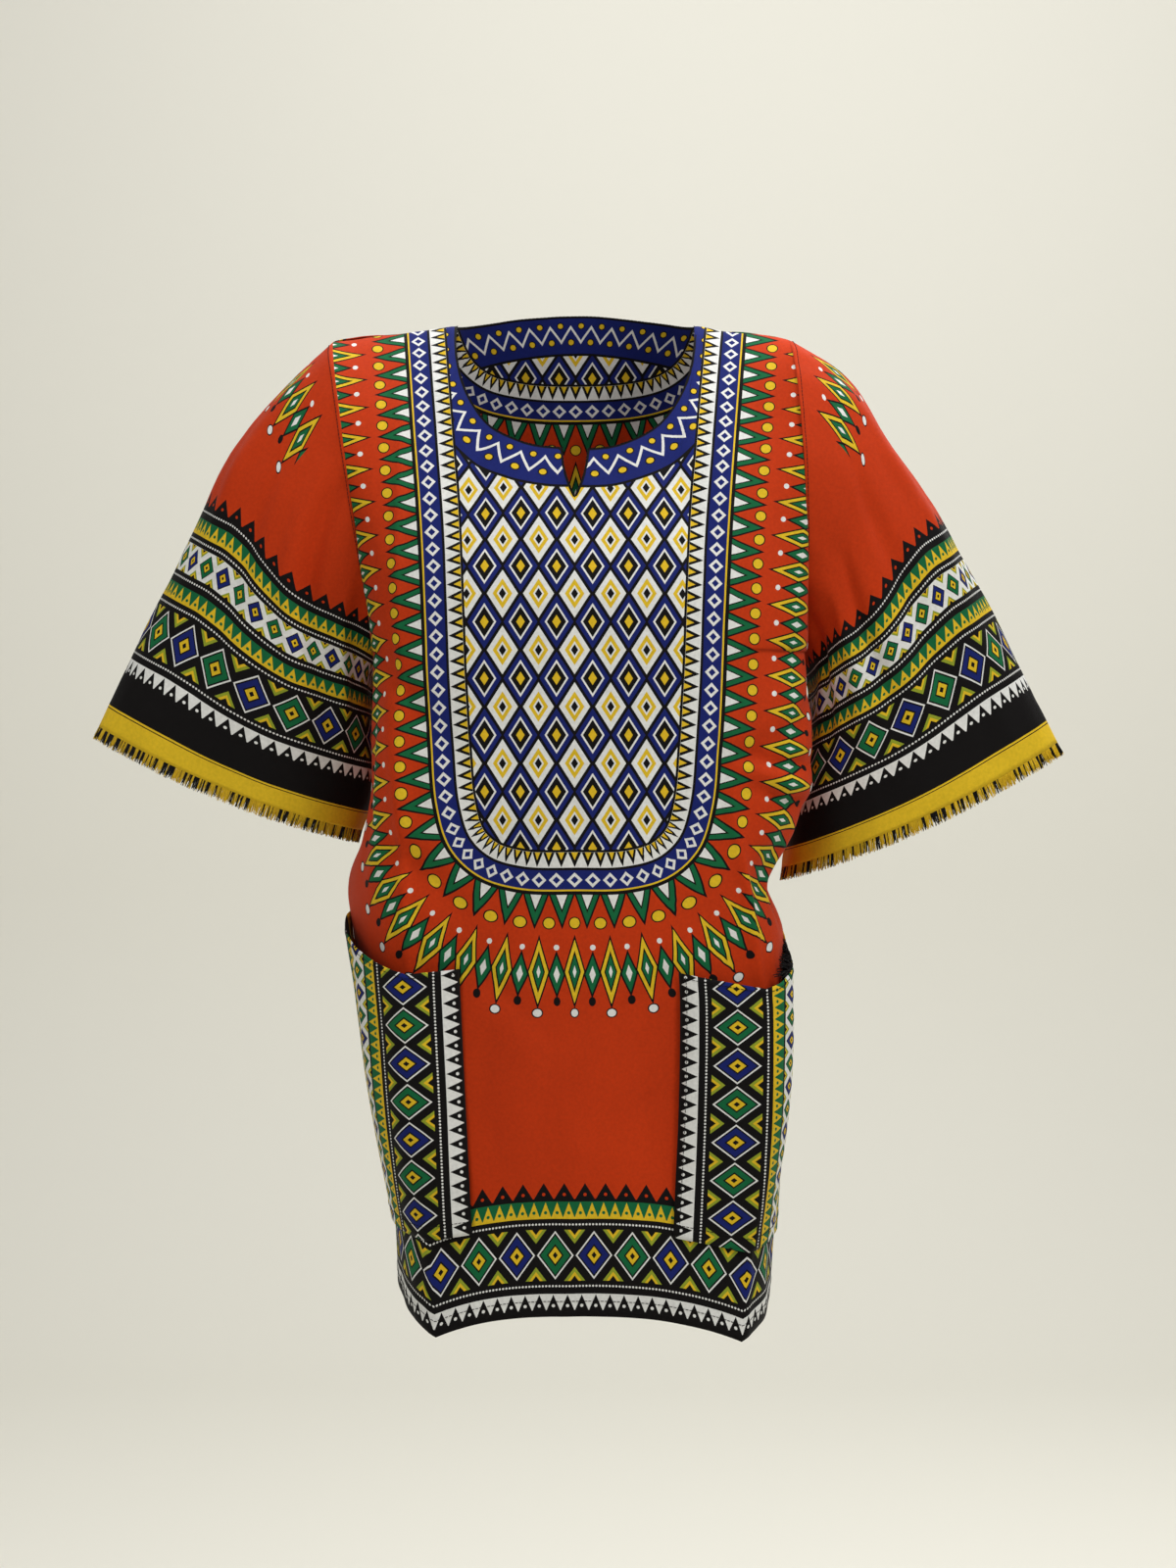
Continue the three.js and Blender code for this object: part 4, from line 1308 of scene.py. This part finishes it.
@dataclass
class Fraying:
    """Loose threads along a cut edge, uneven in length and lie."""

    finish: Thread
    sizes: dict = field(
        default_factory=lambda: {
            "Pitch": 0.22 * MM, "Length": 12 * MM, "Radius": 0.3 * MM, "Spread": 0.08, "Seed": 5,
        }
    )
    shortest: float = 0.72
    longest: float = 1.08
    clumping: float = 430.0

    def tree(self) -> tuple[bpy.types.NodeTree, dict]:
        """Builds the tree that hangs threads from a line whose points hold the way down."""
        tree, sizes, ids = group("frayed_threads", self.sizes)
        size = sizes.outputs
        marks = marks_along(tree, sizes)
        inputs = {
            "Points": marks.outputs["Points"],
            "Instance": self._strand(tree, size),
            "Rotation": self._lie(tree, size),
            "Scale": self._stretch(tree, size),
        }
        laid = node(tree, "GeometryNodeInstanceOnPoints", None, inputs)
        # Threads of one dye lie in clumps, so the strand's number comes from a slow noise.
        clump = node(tree, "ShaderNodeTexNoise", None, {"Scale": self.clumping, "Detail": 1.0})
        marked = node(
            tree, "GeometryNodeStoreNamedAttribute", {"data_type": "FLOAT", "domain": "INSTANCE"},
            {0: laid.outputs[0], "Name": "strand", "Value": clump.outputs[0]},
        )
        end_tree(tree, marked.outputs[0], self.finish)
        return tree, ids

    def _strand(self, tree: bpy.types.NodeTree, size: Sequence) -> bpy.types.NodeSocket:
        """Adds one straight thread, three-sided."""
        tip = node(tree, "ShaderNodeCombineXYZ", None, {2: size["Length"]})
        core = node(tree, "GeometryNodeCurvePrimitiveLine", None, {"End": tip.outputs[0]})
        parts = node(tree, "GeometryNodeResampleCurve", None, {0: core.outputs[0], "Count": 5})
        round_it = node(tree, "GeometryNodeCurvePrimitiveCircle", None, {"Resolution": 3})
        scale = node(tree, "ShaderNodeCombineXYZ", None, {i: size["Radius"] for i in range(3)})
        inputs = {0: round_it.outputs[0], "Scale": scale.outputs[0]}
        sized = node(tree, "GeometryNodeTransform", None, inputs)
        inputs = {"Curve": parts.outputs[0], "Profile Curve": sized.outputs[0], "Fill Caps": True}
        return node(tree, "GeometryNodeCurveToMesh", None, inputs).outputs[0]

    def _lie(self, tree: bpy.types.NodeTree, size: Sequence) -> bpy.types.NodeSocket:
        """Adds each thread's turn: down along the cloth, with a lean of its own."""
        vectors = {"data_type": "FLOAT_VECTOR"}
        down = node(tree, "GeometryNodeInputNamedAttribute", vectors, {"Name": "hang"})
        inputs = {0: (-1, -1, -1), 1: (1, 1, 1), "Seed": size["Seed"]}
        lean = node(tree, "FunctionNodeRandomValue", vectors, inputs)
        inputs = {0: lean.outputs[0], "Scale": size["Spread"]}
        leaning = node(tree, "ShaderNodeVectorMath", {"operation": "SCALE"}, inputs)
        inputs = {0: down.outputs[0], 1: leaning.outputs[0]}
        way = node(tree, "ShaderNodeVectorMath", {"operation": "ADD"}, inputs)
        inputs = {"Vector": way.outputs[0]}
        return node(tree, "FunctionNodeAlignRotationToVector", {"axis": "Z"}, inputs).outputs[0]

    def _stretch(self, tree: bpy.types.NodeTree, size: Sequence) -> bpy.types.NodeSocket:
        """Adds each thread's own length."""
        inputs = {2: self.shortest, 3: self.longest, "Seed": size["Seed"]}
        long = node(tree, "FunctionNodeRandomValue", {"data_type": "FLOAT"}, inputs)
        return node(tree, "ShaderNodeCombineXYZ", None, {0: 1.0, 1: 1.0, 2: long.outputs[1]}).outputs[0]

    def hang(
        self, name: str, line: Array, down: Array, tree: bpy.types.NodeTree, ids: dict
    ) -> bpy.types.Object:
        """Hangs threads from one cut edge."""
        made = line_object(name, line, {"hang": down})
        run_tree(made, tree, ids, self.sizes)
        return made


# --- The whole dress ---------------------------------------------------------------------------------


FRONT_FOLDS = (
    Fold((216, -296), (128, -346), 10, -4.5, bend=8),
    Fold((214, -350), (138, -345), 6, -6.4, bend=5),
    Fold((208, -370), (134, -356), 6, 4.8, bend=4),
    Fold((204, -386), (146, -372), 6, -6.4, bend=3),
    Fold((206, -394), (166, -456), 8, 6.0, bend=-6),
    Fold((214, -402), (186, -474), 8, -6.0, bend=-5),
    Fold((-172, -262), (-112, -330), 12, -4.6, bend=5),
    Fold((-176, -300), (-188, -420), 13, -4.6, bend=-6),
    Fold((-150, -290), (-120, -430), 10, 3.4, bend=-6),
    Fold((-176, -400), (-96, -462), 12, -4.6, bend=6),
    Fold((119, -60), (120, -300), 4, 2.2, bend=2),
    Fold((120, -280), (122, -400), 4, 3.0, bend=1),
    Fold((122, -385), (146, -528), 4, 3.8, bend=2),
    Fold((-137, -60), (-138, -310), 4, 2.6, bend=-2),
    Fold((-138, -380), (-128, -525), 4, 3.6, bend=-1),
    Fold((141, -540), (137, -800), 4, 2.0),
    Fold((-124, -540), (-112, -800), 4, 2.0),
    Fold((-40, -500), (-62, -720), 20, 4.0, bend=6),
    Fold((52, -470), (70, -720), 22, -4.0, bend=-8),
    Fold((8, -590), (-6, -780), 16, 3.4),
    Fold((-78, -515), (-30, -560), 9, -2.4, bend=4),
    Fold((84, -512), (40, -548), 9, -2.4, bend=-4),
    Fold((-150, -470), (-140, -620), 14, 2.6, bend=5),
    Fold((172, -470), (162, -640), 15, 2.6, bend=-5),
    Fold((-60, -20), (-104, -190), 14, -3.2, bend=6),
    Fold((62, -20), (98, -180), 14, -3.2, bend=-6),
)
BACK_FOLDS = (
    Fold((-30, -160), (-58, -430), 20, -4.8, bend=10),
    Fold((36, -200), (52, -520), 22, 4.6, bend=-8),
    Fold((-110, -300), (-84, -640), 20, 4.4, bend=8),
    Fold((112, -330), (92, -700), 18, -4.4, bend=-10),
    Fold((4, -420), (-14, -740), 22, -4.4, bend=10),
    Fold((-44, -560), (-52, -780), 18, 3.6, bend=-6),
    Fold((-186, -300), (-104, -400), 11, -4.8, bend=6),
    Fold((-188, -350), (-120, -470), 10, 4.4, bend=-5),
    Fold((196, -300), (112, -384), 11, -4.8, bend=-6),
    Fold((194, -340), (126, -448), 10, 4.4, bend=5),
    Fold((-128, -70), (-132, -330), 4, 2.4, bend=3),
    Fold((130, -70), (136, -350), 4, 2.4, bend=-3),
)
LEFT_SLEEVE_FOLDS = (
    Fold((-40, 330), (-58, 150), 12, 4.4, bend=4),
    Fold((-80, 300), (-96, 120), 11, -4.6, bend=5),
    Fold((-118, 260), (-150, 100), 10, 4.6, bend=-5),
    Fold((-168, 210), (-196, 60), 10, -4.4, bend=6),
    Fold((44, 320), (64, 110), 14, 4.4, bend=-6),
    Fold((96, 300), (104, 80), 10, -4.4, bend=5),
    Fold((150, 262), (144, 96), 8, -6.0, bend=4),
    Fold((176, 250), (174, 92), 8, 4.6, bend=-3),
    Fold((212, 246), (206, 100), 8, -5.0, bend=3),
)
RIGHT_SLEEVE_FOLDS = (
    Fold((40, 310), (52, 140), 12, 4.4, bend=4),
    Fold((84, 280), (96, 70), 10, -4.6, bend=5),
    Fold((116, 290), (164, 104), 9, 5.6, bend=-3),
    Fold((132, 300), (188, 108), 7, -6.6, bend=-4),
    Fold((176, 250), (214, 70), 8, 4.6, bend=4),
    Fold((-52, 320), (-70, 120), 14, 4.4, bend=-6),
    Fold((-120, 270), (-142, 80), 12, -4.6, bend=6),
    Fold((-158, 250), (-166, 70), 10, 4.4, bend=-4),
    Fold((-190, 200), (-204, 60), 10, -4.0),
)


@dataclass
class Dress:
    """The whole dress: panels, sleeves, pockets, stitches and frays."""

    form: Form = field(default_factory=Form)
    black_thread: Thread = Thread("spun_cotton_thread_black", Ink.BLACK, Ink.BLACK)
    selvedge_thread: Thread = Thread("spun_cotton_thread_selvedge", Ink.YELLOW, Ink.BLACK)
    fray_root: float = 1.5
    stitch_lift: float = 0.5
    tuft_columns: tuple[int, int] = (19, 34)

    def build(self) -> list[bpy.types.Object]:
        """Builds and dresses every piece.

        Returns:
            The pieces.
        """
        front, front_grid = self._panel(Face.FRONT, FRONT_FOLDS, FRONT_BIB)
        back, back_grid = self._panel(Face.BACK, BACK_FOLDS, BACK_BIB)
        sleeves = self._sleeves()
        pockets = self._pockets()
        stitches = self._stitches(front_grid, back_grid, pockets, sleeves)
        made = [front, back] + [s[0] for s in sleeves] + [p[0] for p in pockets] + stitches
        for piece in made:
            LOG.info("%s: %d faces", piece.name, len(piece.data.polygons))
        return made

    def _panel(self, face: Face, folds: Sequence[Fold], bib: Bib) -> tuple[bpy.types.Object, Array]:
        sheet = Panel(self.form, face, folds).cloth(bib)
        piece = sheet.build(panel_material(face))
        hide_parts(face.name.lower())
        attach(piece, "root")
        round(sheet.area(), 3)
        LOG.info("%s: %.3f square metres", piece.name, sheet.area())
        return piece, sheet.points

    def _sleeves(self) -> list[tuple[bpy.types.Object, Array]]:
        """Builds both sleeves with their frayed selvedges."""
        material = sleeve_material()
        fray = Fraying(self.selvedge_thread)
        tree, ids = fray.tree()
        made = []
        for side, folds in ((Side.LEFT, LEFT_SLEEVE_FOLDS), (Side.RIGHT, RIGHT_SLEEVE_FOLDS)):
            sheet = Sleeve(self.form, side, folds).cloth()
            piece = sheet.build(material)
            edge, inner = (np.concatenate([ring, ring[:1]]) for ring in (sheet.points[-1], sheet.points[-3]))
            down = (edge - inner) / np.linalg.norm(edge - inner, axis=-1, keepdims=True)
            threads = fray.hang(f"{side.word}_cuff_frays", edge - down * self.fray_root, down, tree, ids)
            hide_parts(f"{side.word}_sleeve")
            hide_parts(f"{side.word}_selvedge")
            for each, slot in ((piece, "printed_cotton"), (threads, "bare_selvedge")):
                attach(each, "root")
            round(sheet.area(), 3)
            LOG.info("%s: %.3f square metres", piece.name, sheet.area())
            made.append((piece, sheet.points))
        return made

    def _pockets(self) -> list[tuple[bpy.types.Object, Array]]:
        """Builds both pockets."""
        material = pocket_material()
        front = Panel(self.form, Face.FRONT, FRONT_FOLDS)
        made = []
        for side, mouth, foot, folds in (
            (Side.LEFT, (-515, -527, -485), (-722, -735, -722),
             (Fold((150, -520), (158, -690), 9, -2.2), Fold((185, -520), (180, -650), 10, 2.0))),
            (Side.RIGHT, (-512, -515, -469), (-720, -726, -716),
             (Fold((-146, -500), (-150, -680), 9, -2.2), Fold((-180, -500), (-170, -640), 10, 2.0))),
        ):
            ease = 0.95 if side is Side.LEFT else 0.2
            sheet = Pocket(self.form, side, folds, mouth, foot, seam_ease=ease).cloth(front)
            piece = sheet.build(material)
            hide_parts(f"{side.word}_pocket")
            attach(piece, "root")
            round(sheet.area(), 3)
            if side is Side.LEFT:
                self._tuft(sheet.points[-1, slice(*self.tuft_columns)] + np.array([0, -1, 1]))
            LOG.info("%s: %.3f square metres", piece.name, sheet.area())
            made.append((piece, sheet.points))
        return made

    def _tuft(self, line: Array) -> None:
        """Hangs the short tuft of overlock threads where the pocket's mouth meets the side seam."""
        sizes = {"Pitch": 0.9 * MM, "Length": 13 * MM, "Radius": 0.45 * MM, "Spread": 0.6, "Seed": 11}
        fray = Fraying(self.black_thread, sizes)
        tree, ids = fray.tree()
        down = np.broadcast_to(np.array([-0.78, -0.5, 0.02]), line.shape)
        threads = fray.hang("left_pocket_loose_threads", line, down, tree, ids)
        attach(threads, "root")

    def _stitches(
        self, front: Array, back: Array, pockets: Sequence[tuple], sleeves: Sequence[tuple]
    ) -> list[bpy.types.Object]:
        """Sews the neck, the hem, the pockets' edges and the armholes."""
        sewing = Stitching(self.black_thread)
        tree, ids = sewing.tree()
        lines = {}
        for name, grid in (("front", front), ("back", back)):
            out = grid + normals(grid) * self.stitch_lift
            neck = [c for c in range(grid.shape[1]) if abs(grid[-1, c, 0]) < self.form.neck_half + 1]
            lines[f"{name}_neck_stitches"] = lerp(out[-1, neck], out[-2, neck], 0.8)
            lines[f"{name}_hem_stitches"] = out[3]
        for piece, grid in pockets:
            out = grid + normals(grid) * self.stitch_lift
            rim = [out[3, 1:-1], out[1:-1, 1], out[-2, 1:-1]]
            for word, line in zip(("foot", "edge", "mouth"), rim):
                lines[f"{piece.name.removesuffix('_cloth')}_{word}_stitches"] = line
        for piece, grid in sleeves:
            out = grid + normals(grid) * self.stitch_lift
            lines[f"{piece.name.removesuffix('_cloth')}_armhole_stitches"] = out[1]
        made = []
        for name, line in lines.items():
            row = sewing.sew(name, line, tree, ids)
            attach(row, "root")
            made.append(row)
        return made


@dataclass
class Studio:
    """A pale backdrop, soft lights and the camera."""

    distance: float = 2.32
    lens: float = 65.25
    aim: tuple[float, float] = (0.0104, -0.368)
    floor: float = -1.6
    wall: float = 3.5
    reach: float = 7.0

    def build(self) -> None:
        """Sets up the room, the lights and the camera."""
        self._backdrop()
        world = bpy.data.worlds.new("soft_room")
        world.use_nodes = True
        world.node_tree.nodes["Background"].inputs[0].default_value = linear("#F4F2EC")
        world.node_tree.nodes["Background"].inputs[1].default_value = 0.3
        bpy.context.scene.world = world
        bpy.context.scene.view_settings.view_transform = "Standard"
        dress = (0, 0, self.aim[1])
        for name, place, toward, size, power in (
            ("key", (1.7, -1.5, 1.7), dress, 0.8, 46),
            ("fill", (-1.8, -2.1, 0.1), dress, 1.8, 13),
            ("top", (-0.1, -0.6, 1.7), dress, 1.2, 15),
            ("rim", (1.7, 2.0, 1.3), dress, 1.2, 17),
            ("wall_wash", (0.5, 1.2, 2.6), (0.3, self.wall, -0.2), 3.0, 105),
        ):
            self._light(name, place, toward, size, power)
        camera = bpy.data.cameras.new("camera")
        camera.lens = self.lens
        camera.sensor_width = 36
        made = bpy.data.objects.new("camera", camera)
        made.location = (self.aim[0], -self.distance, self.aim[1])
        made.rotation_euler = (math.pi / 2, 0, 0)
        bpy.context.scene.collection.objects.link(made)
        bpy.context.scene.camera = made

    def _light(
        self, name: str, place: Sequence[float], toward: Sequence[float], size: float, power: float
    ) -> None:
        """Adds a square soft light that no view shows."""
        lamp = bpy.data.lights.new(name, "AREA")
        lamp.size = size
        lamp.energy = power
        made = bpy.data.objects.new(name, lamp)
        made.location = place
        made.rotation_euler = (Vector(toward) - Vector(place)).to_track_quat("-Z", "Y").to_euler()
        made.visible_camera = False
        bpy.context.scene.collection.objects.link(made)

    def _backdrop(self) -> None:
        """Makes the floor that turns up into a wall in one sweep."""
        turn = np.linspace(0, math.pi / 2, 12)
        bend = [(self.wall + math.sin(t), self.floor + 1 - math.cos(t)) for t in turn]
        profile = [(-self.reach, self.floor)] + bend + [(self.wall + 1, 4.0)]
        verts = [(x, y, z) for y, z in profile for x in (-self.reach, self.reach)]
        faces = [(2 * i, 2 * i + 1, 2 * i + 3, 2 * i + 2) for i in range(len(profile) - 1)]
        mesh = bpy.data.meshes.new("backdrop")
        mesh.from_pydata(verts, [], faces)
        mesh.polygons.foreach_set("use_smooth", [True] * len(faces))
        paper = bpy.data.materials.new("matt_paper")
        paper.use_nodes = True
        surface = paper.node_tree.nodes["Principled BSDF"]
        surface.inputs["Base Color"].default_value = linear("#E6E4DA")
        surface.inputs["Roughness"].default_value = 0.9
        mesh.materials.append(paper)
        made = bpy.data.objects.new("backdrop", mesh)
        bpy.context.scene.collection.objects.link(made)


def main() -> None:
    """Builds the dress and the studio."""
    logging.basicConfig(level=logging.INFO)
    Studio().build()
    Dress().build()


if __name__ == "__main__":
    main()
